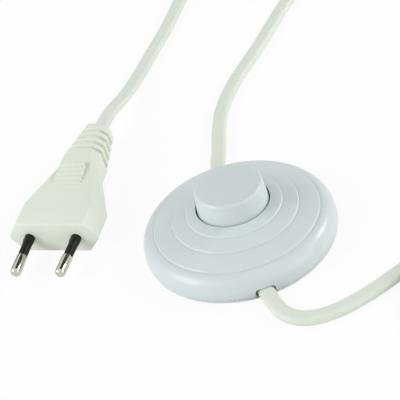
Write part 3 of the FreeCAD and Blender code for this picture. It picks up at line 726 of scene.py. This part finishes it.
# %% Grip pads
PLUG_HALF = PLUG_FACE[1] / 2
PAD_RISE = 1.68
PAD_START, PAD_END = 19.2, WAIST_AT
PAD_FRONT_WIDTH, PAD_REAR_WIDTH = 12.0, 9.6
PAD_BOTTOM, PAD_FRONT_TOP, PAD_REAR_TOP = 3.4, PLUG_HALF - 0.42, PLUG_HALF + PAD_RISE
PAD_RIDGES = 5
PAD_GROOVE_HALF, PAD_GROOVE_DEPTH = 0.4, 0.34
PAD_TOOL_HALF, PAD_TOOL_RISE = 8, 4
PAD_EDGE = 0.18
PLUG_EDGE = 0.75
PLUG_SMOOTH = 38


def soften(piece, width, angle, segments):
    """Bevel all edges sharper than an angle."""
    pick(piece)
    change = piece.modifiers.new("soften", "BEVEL")
    change.width = width * MM
    change.segments = segments
    change.limit_method = "ANGLE"
    change.angle_limit = math.radians(angle)
    bpy.ops.object.modifier_apply(modifier=change.name)


def grip_pad(name):
    """Upper grip pad: a wedge that rises towards the cord, with cross grooves for the fingers."""
    pad = block((PAD_START, -1, PAD_BOTTOM), (PAD_END, 1, PAD_FRONT_TOP))
    pad.name = name
    bpy.ops.object.mode_set(mode="EDIT")
    mesh = bmesh.from_edit_mesh(pad.data)
    for v in mesh.verts:
        rear = v.co.x > (PAD_START + PAD_END) / 2 * MM
        upper = v.co.z > (PAD_BOTTOM + PAD_FRONT_TOP) / 2 * MM
        v.co.y = math.copysign((PAD_REAR_WIDTH if rear else PAD_FRONT_WIDTH) / 2 * MM, v.co.y)
        if rear and upper:
            v.co.z = PAD_REAR_TOP * MM
    bmesh.update_edit_mesh(pad.data)
    bpy.ops.object.mode_set(mode="OBJECT")
    pitch = (PAD_END - PAD_START) / (PAD_RIDGES + 1)
    for ridge in range(PAD_RIDGES):
        s = PAD_START + (ridge + 1) * pitch
        share = (s - PAD_START) / (PAD_END - PAD_START)
        top = PAD_FRONT_TOP + (PAD_REAR_TOP - PAD_FRONT_TOP) * share
        groove = block((s - PAD_GROOVE_HALF, -PAD_TOOL_HALF, top - PAD_GROOVE_DEPTH),
                       (s + PAD_GROOVE_HALF, PAD_TOOL_HALF, top + PAD_TOOL_RISE))
        combine(pad, groove, "DIFFERENCE")
    return pad


upper_pad = grip_pad("upper_pad")
soften(upper_pad, PAD_EDGE, angle=30, segments=2)
pick(upper_pad)
bpy.ops.object.duplicate()
lower_pad = bpy.context.active_object
lower_pad.rotation_euler = (math.radians(180), 0, 0)
apply_place(lower_pad)
soften(plug, PLUG_EDGE, angle=18, segments=3)
combine(plug, upper_pad, "UNION")
combine(plug, lower_pad, "UNION")
smooth(plug, PLUG_SMOOTH)
print("plug faces with pads", len(plug.data.polygons))

# %% [markdown]
# ## Pins and sleeves
#
# Each pin is round and has a rounded tip. The half next to the plug's face wears an insulating sleeve,
# a little thinner than the bare metal. The pins lean towards each other, so that they grip in
# a socket. A lean is hard to turn, so they are turned upright about Z first and then laid along their own
# axes in the plug.

# %% Place of the plug and its pins
PIN_LENGTH = 19.0
PIN_BASE_GAP, PIN_TIP_GAP = 18.6, 17.5
PLUG_AT = (-64.7, 25.5)
PLUG_PITCH = math.atan(PAD_RISE / WAIST_AT)
PLUG_HEADING = math.radians(61.6)
plug_matrix = Matrix.Translation(Vector((*PLUG_AT, PLUG_HALF * math.cos(PLUG_PITCH))) * MM)
plug_matrix @= Euler((0, -PLUG_PITCH, PLUG_HEADING)).to_matrix().to_4x4()


def lay(obj, matrix):
    """Move an object by a matrix and put that place into its mesh."""
    obj.matrix_world = matrix
    return apply_place(obj)


def pin_matrix(side):
    """Place of a pin whose own axis is Z, side 1 on the left."""
    lean = (PIN_BASE_GAP - PIN_TIP_GAP) / 2 / PIN_LENGTH
    outwards = Vector((-1, -side * lean, 0)).normalized()
    turn = Vector((0, 0, 1)).rotation_difference(outwards).to_matrix().to_4x4()
    return plug_matrix @ Matrix.Translation((0, side * PIN_BASE_GAP / 2 * MM, 0)) @ turn


lay(plug, plug_matrix)
print("pin tip", [round(v / MM, 1) for v in pin_matrix(1) @ Vector((0, 0, PIN_LENGTH * MM))])

# %% Pins and sleeves
PIN_RADIUS, PIN_CORE, PIN_SEAT = 2.0, 1.4, 9.0
PIN_TIP_ROUND = 1.7
SLEEVE_RADIUS, SLEEVE_LENGTH, SLEEVE_SEAT = 1.8, 10.0, 2.0
SLEEVE_TIP_RADIUS, SLEEVE_END = 1.72, SLEEVE_LENGTH - 0.05
COLLAR_RADIUS, COLLAR_LENGTH, COLLAR_TAPER = 1.98, 2.6, 0.8
FINE_ROUND = 0.12
PIN_STEPS = 48
PIN_SMOOTH = 40
pins, sleeves = [], []
for side, word in ((1, "left"), (-1, "right")):
    pin = turned(word + "_bare_pin", [
        (0, PIN_LENGTH), (PIN_RADIUS, PIN_LENGTH), (PIN_RADIUS, SLEEVE_LENGTH), (PIN_CORE, SLEEVE_LENGTH),
        (PIN_CORE, -PIN_SEAT), (0, -PIN_SEAT)], PIN_STEPS)
    round_rings(pin, [(PIN_RADIUS, PIN_LENGTH)], PIN_TIP_ROUND, segments=6)
    round_rings(pin, [(PIN_RADIUS, SLEEVE_LENGTH)], FINE_ROUND, segments=2)
    sleeve = turned(word + "_sleeve", [
        (PIN_CORE, -SLEEVE_SEAT), (COLLAR_RADIUS, -SLEEVE_SEAT), (COLLAR_RADIUS, COLLAR_LENGTH),
        (SLEEVE_RADIUS, COLLAR_LENGTH + COLLAR_TAPER), (SLEEVE_TIP_RADIUS, SLEEVE_END),
        (PIN_CORE, SLEEVE_END)], PIN_STEPS)
    sleeve_rings = [(SLEEVE_TIP_RADIUS, SLEEVE_END), (COLLAR_RADIUS, COLLAR_LENGTH)]
    round_rings(sleeve, sleeve_rings, FINE_ROUND, segments=2)
    for piece, group in ((pin, pins), (sleeve, sleeves)):
        smooth(piece, PIN_SMOOTH)
        group.append(lay(piece, pin_matrix(side)))
print("pin faces", len(pins[0].data.polygons), "sleeve faces", len(sleeves[0].data.polygons))

# %% [markdown]
# ## Ties
#
# Each coil is held by two flat strips closed round its section. A strip is a box without its two ends,
# which leaves a band. The band's corners are rounded and Solidify gives it its thickness inwards, so it
# keeps the size of the box.

# %% Ties
COIL_MIDDLE = 30.2
COIL_TOP = COIL_TOP_Z / MM
TIE_THICKNESS = 0.6
TIE_WIDTH = 4.0
TIE_CORNER = 2.3
TIE_WALL = TIE_THICKNESS - 0.08
TIE_SMOOTH = 40
SUPPLY_TIE_ANGLES = (60.0, 240.0)
LAMP_TIE_ANGLES = (85.0, 265.0)


def tie(name):
    """Closed flat strip round the coil's section, on the X axis at the coil's middle radius."""
    half = CORD_WIDTH / MM + TIE_THICKNESS
    strip = block((COIL_MIDDLE - half, -TIE_WIDTH / 2, 0),
                  (COIL_MIDDLE + half, TIE_WIDTH / 2, COIL_TOP + TIE_THICKNESS))
    strip.name = name
    bpy.ops.object.mode_set(mode="EDIT")
    bpy.ops.mesh.select_mode(type="FACE")
    bpy.ops.mesh.select_all(action="DESELECT")
    mesh = bmesh.from_edit_mesh(strip.data)
    for face in mesh.faces:
        face.select_set(abs(face.normal.y) > 0.9)
    bmesh.update_edit_mesh(strip.data)
    bpy.ops.mesh.delete(type="ONLY_FACE")
    bpy.ops.object.mode_set(mode="OBJECT")
    bevel_edges(strip, runs_along_y, TIE_CORNER, segments=5)
    wall = strip.modifiers.new("wall", "SOLIDIFY")
    wall.thickness = TIE_WALL * MM
    wall.offset = -1
    pick(strip)
    bpy.ops.object.modifier_apply(modifier=wall.name)
    soften(strip, FINE_ROUND, angle=50, segments=2)
    return smooth(strip, TIE_SMOOTH)


def joined(pieces, name):
    """Join pieces into one object."""
    pick(*pieces)
    bpy.ops.object.join()
    pieces[0].name = name
    return pieces[0]


def coil_ties(name, centre, angles):
    """One tie at each angle of a coil, joined into one piece."""
    ties = []
    for angle in angles:
        turn = Matrix.Translation((*centre, 0)) @ Matrix.Rotation(math.radians(angle), 4, "Z")
        ties.append(lay(tie(name), turn))
    return joined(ties, name)


supply_ties = coil_ties("supply_ties", SUPPLY_COIL_AT, SUPPLY_TIE_ANGLES)
lamp_ties = coil_ties("lamp_ties", LAMP_COIL_AT, LAMP_TIE_ANGLES)
print("tie faces", len(supply_ties.data.polygons))

# %% [markdown]
# ## The stripped end
#
# The lamp's end of the cord is stripped: a brown and a blue core come out of the jacket, and each ends in
# a bundle of twisted copper strands. All of them are curves with a round bevel. Six strands wind round
# a straight one, because a plain cylinder would look like a solid rod.

# %% Stripped end, in metres
BROWN_END = [(0.1046, -0.0872, TAIL_CORE_Z), (0.0989, -0.0922, TAIL_CORE_Z)]
BLUE_END = [(0.1017, -0.0846, TAIL_CORE_Z), (0.0950, -0.0880, TAIL_CORE_Z)]
CORE_RADIUS = 0.0011
CORE_SPREAD = 0.00145
CORE_STRAIGHT = 0.0070
CORE_START = 0.002
COPPER_LENGTH = 0.0070
COPPER_START = 0.001
STRANDS = 7
STRAND_RADIUS = 0.00023
STRAND_RING = 0.00046
STRAND_STEPS = 8
STRAND_APART, STRAND_TWIST = 60, 20
WIRE_ROUNDNESS = 4
tail_end = Vector(lamp_tail[-1])
tail_way = (tail_end - Vector(lamp_tail[-2])).normalized()
tail_side = tail_way.cross(Vector((0, 0, 1)))


def round_wire(curve_object, radius):
    """Give a curve a round section and make it a mesh."""
    curve_object.data.bevel_depth = radius
    curve_object.data.bevel_resolution = WIRE_ROUNDNESS
    return swept_mesh(curve_object)


def stripped_core(name, side, far_points):
    """One core of the stripped end and its bundle of strands."""
    start = tail_end + tail_side * side * CORE_SPREAD
    straight = start + tail_way * CORE_STRAIGHT
    points = [tuple(start - tail_way * CORE_START), tuple(straight), *far_points]
    core = round_wire(route_curve(name + "_core", points), CORE_RADIUS)
    finish = Vector(far_points[1])
    way = (finish - Vector(far_points[0])).normalized()
    across = way.cross(Vector((0, 0, 1))).normalized()
    lift = across.cross(way)
    strands = []
    for strand in range(STRANDS):
        ring = STRAND_RING if strand else 0.0
        points = []
        for step in range(STRAND_STEPS + 1):
            middle = finish + way * (COPPER_LENGTH * step / STRAND_STEPS - COPPER_START)
            turn = math.radians(STRAND_APART * strand + STRAND_TWIST * step)
            points.append(tuple(middle + across * (ring * math.cos(turn)) + lift * (ring * math.sin(turn))))
        strands.append(round_wire(route_curve(name + "_strand", points), STRAND_RADIUS))
    return core, joined(strands, name + "_strands")


live_core, live_strands = stripped_core("brown", -1, BROWN_END)
neutral_core, neutral_strands = stripped_core("blue", 1, BLUE_END)
print("strand faces", len(live_strands.data.polygons))

# %% [markdown]
# ## Paint tools
#
# A finish is a small node tree. One class wraps an output socket, so shader maths can be written as plain
# expressions. A second class adds any other node to a tree, with its settings and inputs, and the
# world's light uses it too. A third one is a material that starts from Principled.

# %% Wires, trees and finishes


class Wire:
    """An output socket. Arithmetic on it adds Math nodes."""

    def __init__(self, owner, socket):
        self.owner = owner
        self.socket = socket

    def maths(self, operation, first, second):
        return self.owner.node("ShaderNodeMath", {"operation": operation}, {0: first, 1: second})

    def __add__(self, other):
        return self.maths("ADD", self, other)

    __radd__ = __add__

    def __sub__(self, other):
        return self.maths("SUBTRACT", self, other)

    def __rsub__(self, other):
        return self.maths("SUBTRACT", other, self)

    def __mul__(self, other):
        return self.maths("MULTIPLY", self, other)

    __rmul__ = __mul__

    def at_most(self, limit):
        return self.maths("MINIMUM", self, limit)


class Tree:
    """A node tree, filled by one method."""

    def __init__(self, tree):
        self.tree = tree

    def node(self, kind, settings, inputs, output=0):
        """Any node: its settings first, then the values or links of its inputs."""
        node = self.tree.nodes.new(kind)
        for key, value in settings.items():
            if key == "stops":
                for stop, (position, colour) in zip(node.color_ramp.elements, value):
                    stop.position = position
                    stop.color = colour
            else:
                setattr(node, key, value)
        for key, value in inputs.items():
            self.feed(node.inputs[key], value)
        return Wire(self, node.outputs[output])

    def feed(self, socket, value):
        if isinstance(value, Wire):
            self.tree.links.new(value.socket, socket)
        else:
            socket.default_value = value


class Finish(Tree):
    """A Principled material on Object coordinates."""

    def __init__(self, name, **constants):
        self.material = bpy.data.materials.new(name)
        self.material.use_nodes = True
        super().__init__(self.material.node_tree)
        self.shader = self.tree.nodes["Principled BSDF"]
        self.paint(**constants)
        self.place = self.node("ShaderNodeTexCoord", {}, {}, "Object")

    def noise(self, scale, detail, stretch=(1, 1, 1)):
        """Noise from 0 to 1 with so many patches a metre, drawn out along the axes by a stretch."""
        place = self.node("ShaderNodeMapping", {}, {"Vector": self.place, "Scale": stretch})
        inputs = {"Vector": place, "Scale": scale, "Detail": detail}
        return self.node("ShaderNodeTexNoise", {}, inputs, "Fac")

    def blend(self, share, first, second):
        """Colour between two colours."""
        return self.node("ShaderNodeMix", {"data_type": "RGBA"}, {"Factor": share, 6: first, 7: second}, 2)

    def bump(self, height, strength, distance):
        """Normal from a height, with the distance in metres."""
        inputs = {"Height": height, "Strength": strength, "Distance": distance}
        return self.node("ShaderNodeBump", {}, inputs)

    def paint(self, **inputs):
        for key, value in inputs.items():
            self.feed(self.shader.inputs[key.replace("_", " ")], value)
        return self.material


print("materials before painting", len(bpy.data.materials))

# %% [markdown]
# ## Plastics
#
# The switch is pale bluish grey ABS with a fine satin from the mould. The cord and the plug are soft PVC,
# a warm white with a little green in it. One flat colour would look painted, so each plastic gets a faint
# cloudiness, an uneven gloss and a fine grain. The cord's grain is coarser, because it lies further
# away and finer marks would only flicker.

# %% Plastics
# Noise scales, in patches a metre
CLOUDS = 90.0
GLOSS_PATCHES = 420.0
MOULD_GRAIN = 2600.0
CORD_GRAIN = 600.0
# How much each noise counts, how the two layers of the grain are scaled, and its depth in metres
CLOUD_SHARE = 0.75
GLOSS_SWING, SPECKLE_SWING = 0.10, 0.05
FINE_SHARE = 0.7
FINE_SCALE, COARSE_SCALE = 1.5, 0.25
GRAIN_DEPTH = 0.00006


def plastic(name, light, dark, gloss, grain, marks=MOULD_GRAIN, **constants):
    """Moulded plastic: two close colours, an uneven gloss and a grain of so many marks a metre."""
    finish = Finish(name, **constants)
    cloud = finish.noise(CLOUDS, detail=3.0)
    speckle = finish.noise(marks, detail=1.0)
    tone = cloud * CLOUD_SHARE + speckle * (1 - CLOUD_SHARE)
    colour = finish.blend(tone, (*dark, 1), (*light, 1))
    uneven = (finish.noise(GLOSS_PATCHES, detail=2.0) - 0.5) * GLOSS_SWING
    rough = gloss + uneven + (speckle - 0.5) * SPECKLE_SWING
    fine_layer = finish.noise(marks * FINE_SCALE, detail=1.0)
    coarse_layer = finish.noise(marks * COARSE_SCALE, detail=2.0)
    height = fine_layer * FINE_SHARE + coarse_layer * (1 - FINE_SHARE)
    normal = finish.bump(height, grain, GRAIN_DEPTH)
    return finish.paint(Base_Color=colour, Roughness=rough, Normal=normal)


cover_paint = plastic("switch_cover_satin", (0.61, 0.672, 0.668), (0.588, 0.65, 0.646), 0.33, 0.14)
button_paint = plastic("switch_button_satin", (0.605, 0.67, 0.664), (0.582, 0.648, 0.642), 0.30, 0.12)
base_paint = plastic("switch_base_satin", (0.60, 0.66, 0.655), (0.575, 0.635, 0.63), 0.45, 0.2)
cord_paint = plastic("cord_pvc", (0.695, 0.742, 0.655), (0.675, 0.722, 0.632), 0.48, 0.05, CORD_GRAIN)
plug_paint = plastic("plug_pvc", (0.715, 0.762, 0.665), (0.694, 0.742, 0.642), 0.46, 0.12)
sleeve_paint = plastic("sleeve_black", (0.010, 0.014, 0.008), (0.007, 0.010, 0.005), 0.32, 0.1,
                       Specular_IOR_Level=0.2)
tie_paint = plastic("tie_white", (0.70, 0.72, 0.68), (0.67, 0.69, 0.65), 0.4, 0.12)
rotor_paint = plastic("rotor_natural", (0.74, 0.72, 0.66), (0.70, 0.68, 0.62), 0.4, 0.1)
clamp_paint = plastic("clamp_grey", (0.60, 0.62, 0.61), (0.56, 0.58, 0.57), 0.45, 0.14)
brown_paint = plastic("core_brown", (0.165, 0.072, 0.034), (0.14, 0.06, 0.028), 0.4, 0.1)
blue_paint = plastic("core_blue", (0.038, 0.13, 0.36), (0.03, 0.11, 0.31), 0.4, 0.1)
print("materials with the plastics", len(bpy.data.materials))

# %% [markdown]
# ## Metals
#
# The pins are nickel plated, the contacts brass, the screws and the spring steel, and the strands copper.
# All of them were drawn or turned, which leaves fine marks in one direction. Noise that is stretched
# along an axis gives such marks, and they change the colour, the gloss and the surface together.

# %% Metals
# Noise scales in patches a metre, how far they swing the gloss, and the marks' depth in metres
METAL_MARKS = 1500.0
METAL_CLOUDS = 240.0
MARK_SWING, CLOUD_SWING = 0.12, 0.06
MARK_STRENGTH, MARK_DEPTH = 0.05, 0.00002


def metal(name, light, dark, gloss, stretch):
    """Drawn, turned or plated metal: marks drawn out along an axis change its colour and gloss."""
    finish = Finish(name, Metallic=1.0)
    marks = finish.noise(METAL_MARKS, detail=3.0, stretch=stretch)
    cloud = finish.noise(METAL_CLOUDS, detail=2.0)
    colour = finish.blend(marks * 0.5 + cloud * 0.5, (*dark, 1), (*light, 1))
    rough = gloss + (marks - 0.5) * MARK_SWING + (cloud - 0.5) * CLOUD_SWING
    normal = finish.bump(marks, MARK_STRENGTH, MARK_DEPTH)
    return finish.paint(Base_Color=colour, Roughness=rough, Normal=normal)


nickel_paint = metal("pin_nickel", (0.60, 0.592, 0.512), (0.525, 0.517, 0.44), 0.15, (1, 1, 0.15))
brass_paint = metal("contact_brass", (0.78, 0.60, 0.28), (0.66, 0.48, 0.2), 0.3, (1, 0.2, 1))
steel_paint = metal("screw_steel", (0.66, 0.66, 0.67), (0.52, 0.52, 0.53), 0.3, (0.3, 1, 1))
spring_paint = metal("spring_steel", (0.55, 0.55, 0.56), (0.42, 0.42, 0.43), 0.28, (1, 1, 0.3))
copper_paint = metal("strand_copper", (0.80, 0.42, 0.26), (0.66, 0.30, 0.16), 0.26, (1, 0.3, 1))
print("materials with the metals", len(bpy.data.materials))

# %% [markdown]
# ## Put the pieces on their bodies
#
# The switch has three bodies: the housing, the button and the rotor. Every new piece rides on the body
# that carries it and stands for the CAD nodes that it replaces. The spring also gets a copy of its mesh
# of its own.

# %% Dress the pieces
dressed = [
    (cover, cover_paint, "housing", "cover", ["cover_shell"]),
    (base, base_paint, "housing", "base", ["base_plate"]),
    (button, button_paint, "button", "button", ["push_button"]),
    (spring, spring_paint, "housing", "spring", ["return_spring"]),
    (plug, plug_paint, "housing", "plug", ["plug_body"]),
    (pins[0], nickel_paint, "housing", "pin", ["left_pin"]),
    (pins[1], nickel_paint, "housing", "pin", ["right_pin"]),
    (sleeves[0], sleeve_paint, "housing", "sleeve", ["left_pin_sleeve"]),
    (sleeves[1], sleeve_paint, "housing", "sleeve", ["right_pin_sleeve"]),
    (supply_cord, cord_paint, "housing", "cord", ["plug_lead", "supply_coil", "inlet_lead"]),
    (lamp_cord, cord_paint, "housing", "cord", ["lamp_lead", "lamp_coil", "lamp_tail"]),
    (supply_ties, tie_paint, "housing", "tie", ["supply_coil_ties"]),
    (lamp_ties, tie_paint, "housing", "tie", ["lamp_coil_ties"]),
    (live_core, brown_paint, "housing", "live_core", ["tail_live_core"]),
    (neutral_core, blue_paint, "housing", "neutral_core", ["tail_neutral_core"]),
    (live_strands, copper_paint, "housing", "copper", ["tail_copper_ends"]),
    (neutral_strands, copper_paint, "housing", "copper", ["tail_copper_ends"]),
]
for piece, paint, body, slot, nodes in dressed:
    piece.data.materials.clear()
    piece.data.materials.append(paint)
    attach(piece, body)
    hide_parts(*nodes)
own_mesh(spring)
print("pieces", len(dressed))

# %% [markdown]
# ## Paint the inner pieces
#
# Contacts, screws, clamps and wires sit inside the closed switch. Their CAD shapes are fine enough for
# that, so these nodes stay as they are and only get their finishes.

# %% Inner pieces
inner_paints = {
    "ratchet_rotor": rotor_paint, "contact_bridge": brass_paint,
    "supply_live_contact": brass_paint, "lamp_live_contact": brass_paint, "neutral_connector": brass_paint,
    "terminal_screws": steel_paint, "clamp_screws": steel_paint, "housing_screws": steel_paint,
    "supply_cord_clamp": clamp_paint, "lamp_cord_clamp": clamp_paint, "supply_live_core": brown_paint,
    "lamp_live_core": brown_paint, "supply_neutral_core": blue_paint, "lamp_neutral_core": blue_paint,
    "copper_ends": copper_paint,
}
for node, paint in inner_paints.items():
    mesh = frame["nodes"][node].data
    mesh.materials.clear()
    mesh.materials.append(paint)
print("inner nodes", len(inner_paints))

# %% [markdown]

# %% [markdown]
# ## The floor
#
# The photo has a plain white ground. A floor that is lit to white would throw too much light onto the
# object, so this one is a pale plane that shows white only to the camera, in reflections and through
# glass. A part of its own shading is mixed in, and so the object keeps a soft shadow.

# %% Floor
FLOOR_SIZE = 12.0
FLOOR_DROP = 0.0002
FLOOR_GREY = (0.86, 0.86, 0.86, 1)
FLOOR_WHITE = 0.90
WHITE = (1, 1, 1, 1)


def seen_directly(tree):
    """1 for what the camera sees itself, in reflections or through glass, and 0 for the light on things."""
    rays = [tree.node("ShaderNodeLightPath", {}, {}, output)
            for output in ("Is Camera Ray", "Is Glossy Ray", "Is Transmission Ray")]
    return (rays[0] + rays[1] + rays[2]).at_most(1.0)


bpy.ops.object.select_all(action="DESELECT")
bpy.ops.mesh.primitive_plane_add(size=FLOOR_SIZE, location=(0, 0, -FLOOR_DROP))
floor = apply_place(bpy.context.active_object)
floor.name = "floor"
floor_finish = Finish("floor_white", Base_Color=FLOOR_GREY, Roughness=0.9)
glow = floor_finish.node("ShaderNodeEmission", {}, {"Color": WHITE, "Strength": 1.0})
shaded = Wire(floor_finish, floor_finish.shader.outputs[0])
white_share = seen_directly(floor_finish) * FLOOR_WHITE
surface = floor_finish.node("ShaderNodeMixShader", {}, {0: white_share, 1: shaded, 2: glow})
floor_finish.feed(floor_finish.tree.nodes["Material Output"].inputs["Surface"], surface)
floor.data.materials.append(floor_finish.material)
print("floor", FLOOR_SIZE, "m wide")

# %% [markdown]
# ## The world
#
# The light is that of a small photo tent: brighter round the sides than overhead. A ramp on the
# direction's height makes it, where an image of a studio would need a file. To the camera and in
# reflections the world is plain white, like the floor.

# %% World
TENT_SIDES = (1.0, 1.0, 1.0, 1)
TENT_TOP = (0.34, 0.35, 0.36, 1)
TENT_STRENGTH = 0.88
world = bpy.data.worlds.new("photo_tent")
bpy.context.scene.world = world
world.use_nodes = True
tent = Tree(world.node_tree)
background = tent.tree.nodes["Background"]
direction = tent.node("ShaderNodeTexCoord", {}, {}, "Generated")
height = tent.node("ShaderNodeSeparateXYZ", {}, {0: direction}, "Z")
cloth = tent.node("ShaderNodeValToRGB", {"stops": ((0.0, TENT_SIDES), (1.0, TENT_TOP))}, {0: height})
tent.feed(background.inputs["Color"], cloth)
tent.feed(background.inputs["Strength"], TENT_STRENGTH)
white = tent.node("ShaderNodeBackground", {}, {"Color": WHITE})
tent_light = Wire(tent, background.outputs[0])
backdrop = tent.node("ShaderNodeMixShader", {}, {0: seen_directly(tent), 1: tent_light, 2: white})
tent.feed(tent.tree.nodes["World Output"].inputs["Surface"], backdrop)
print("tent strength", TENT_STRENGTH)

# %% [markdown]
# ## The lamps
#
# Three soft panels shape the switch: a large one at its left, a small one at its right, and a low one at
# its front right. The small one draws the bright band on the right shoulder. Area lamps are used, because
# a point lamp would give hard shadows, and they stay weak, so that pale surfaces keep their colour.

# %% Lamps
# Name, place and width in metres, power in watts
PANELS = (
    ("left_panel", (-0.68, -0.08, 0.46), 0.45, 3.7),
    ("right_panel", (0.74, 0.11, 0.46), 0.22, 2.3),
    ("low_panel", (0.54, -0.46, 0.26), 0.40, 1.5),
)


def panel(name, place, size, energy):
    """Soft square lamp at a place, facing the switch."""
    bpy.ops.object.light_add(type="AREA", location=place)
    lamp = bpy.context.active_object
    lamp.name = name
    lamp.data.size = size
    lamp.data.energy = energy
    lamp.rotation_euler = (-Vector(place)).to_track_quat("-Z", "Y").to_euler()


for row in PANELS:
    panel(*row)
print("lamps", len(PANELS))

# %% [markdown]
# ## Dark flags for the pins
#
# In a white tent bare metal turns white and loses its form. Dark cloths, called flags, are held beside it,
# and their reflections draw dark stripes along it. Two flags stand here for the pins. The camera, the soft
# light and the shadows don't see them, so they change little else.

# %% Dark flags
PINS_AT = Vector((-0.075, 0.008, 0.007))
PIN_WAY = Vector((-0.476, -0.880, 0.0))
HIGH_FLAG_AT = Vector((0.090, 0.179, 0.264))
HIGH_FLAG_SIZE = (0.32, 0.30)
LOW_FLAG_AT = Vector((-0.196, 0.334, 0.060))
LOW_FLAG_SIZE = (0.10, 0.30)
FLAG_BLACK = (0.05, 0.05, 0.05, 1)
flag_cloth = Finish("flag_cloth", Base_Color=FLAG_BLACK, Roughness=0.9).material


def dark_flag(name, place, size):
    """Dark cloth that faces the pins and shows only in reflections, its long side round the pins' axis."""
    bpy.ops.object.select_all(action="DESELECT")
    bpy.ops.mesh.primitive_plane_add(size=1.0)
    flag = bpy.context.active_object
    flag.name = name
    facing = (PINS_AT - place).normalized()
    around = facing.cross(PIN_WAY).normalized()
    flag.scale = (*size, 1)
    flag.rotation_euler = Matrix((around, facing.cross(around), facing)).transposed().to_euler()
    flag.location = place
    apply_place(flag)
    flag.visible_camera = False
    flag.visible_diffuse = False
    flag.visible_shadow = False
    flag.data.materials.append(flag_cloth)


dark_flag("high_flag", HIGH_FLAG_AT, HIGH_FLAG_SIZE)
dark_flag("low_flag", LOW_FLAG_AT, LOW_FLAG_SIZE)
print("flags at", [round(v, 3) for v in (*HIGH_FLAG_AT, *LOW_FLAG_AT)])

# %% [markdown]
# ## Colour view
#
# The Standard view shows a colour about as it is written.

# %% Colour view
bpy.context.scene.view_settings.view_transform = "Standard"
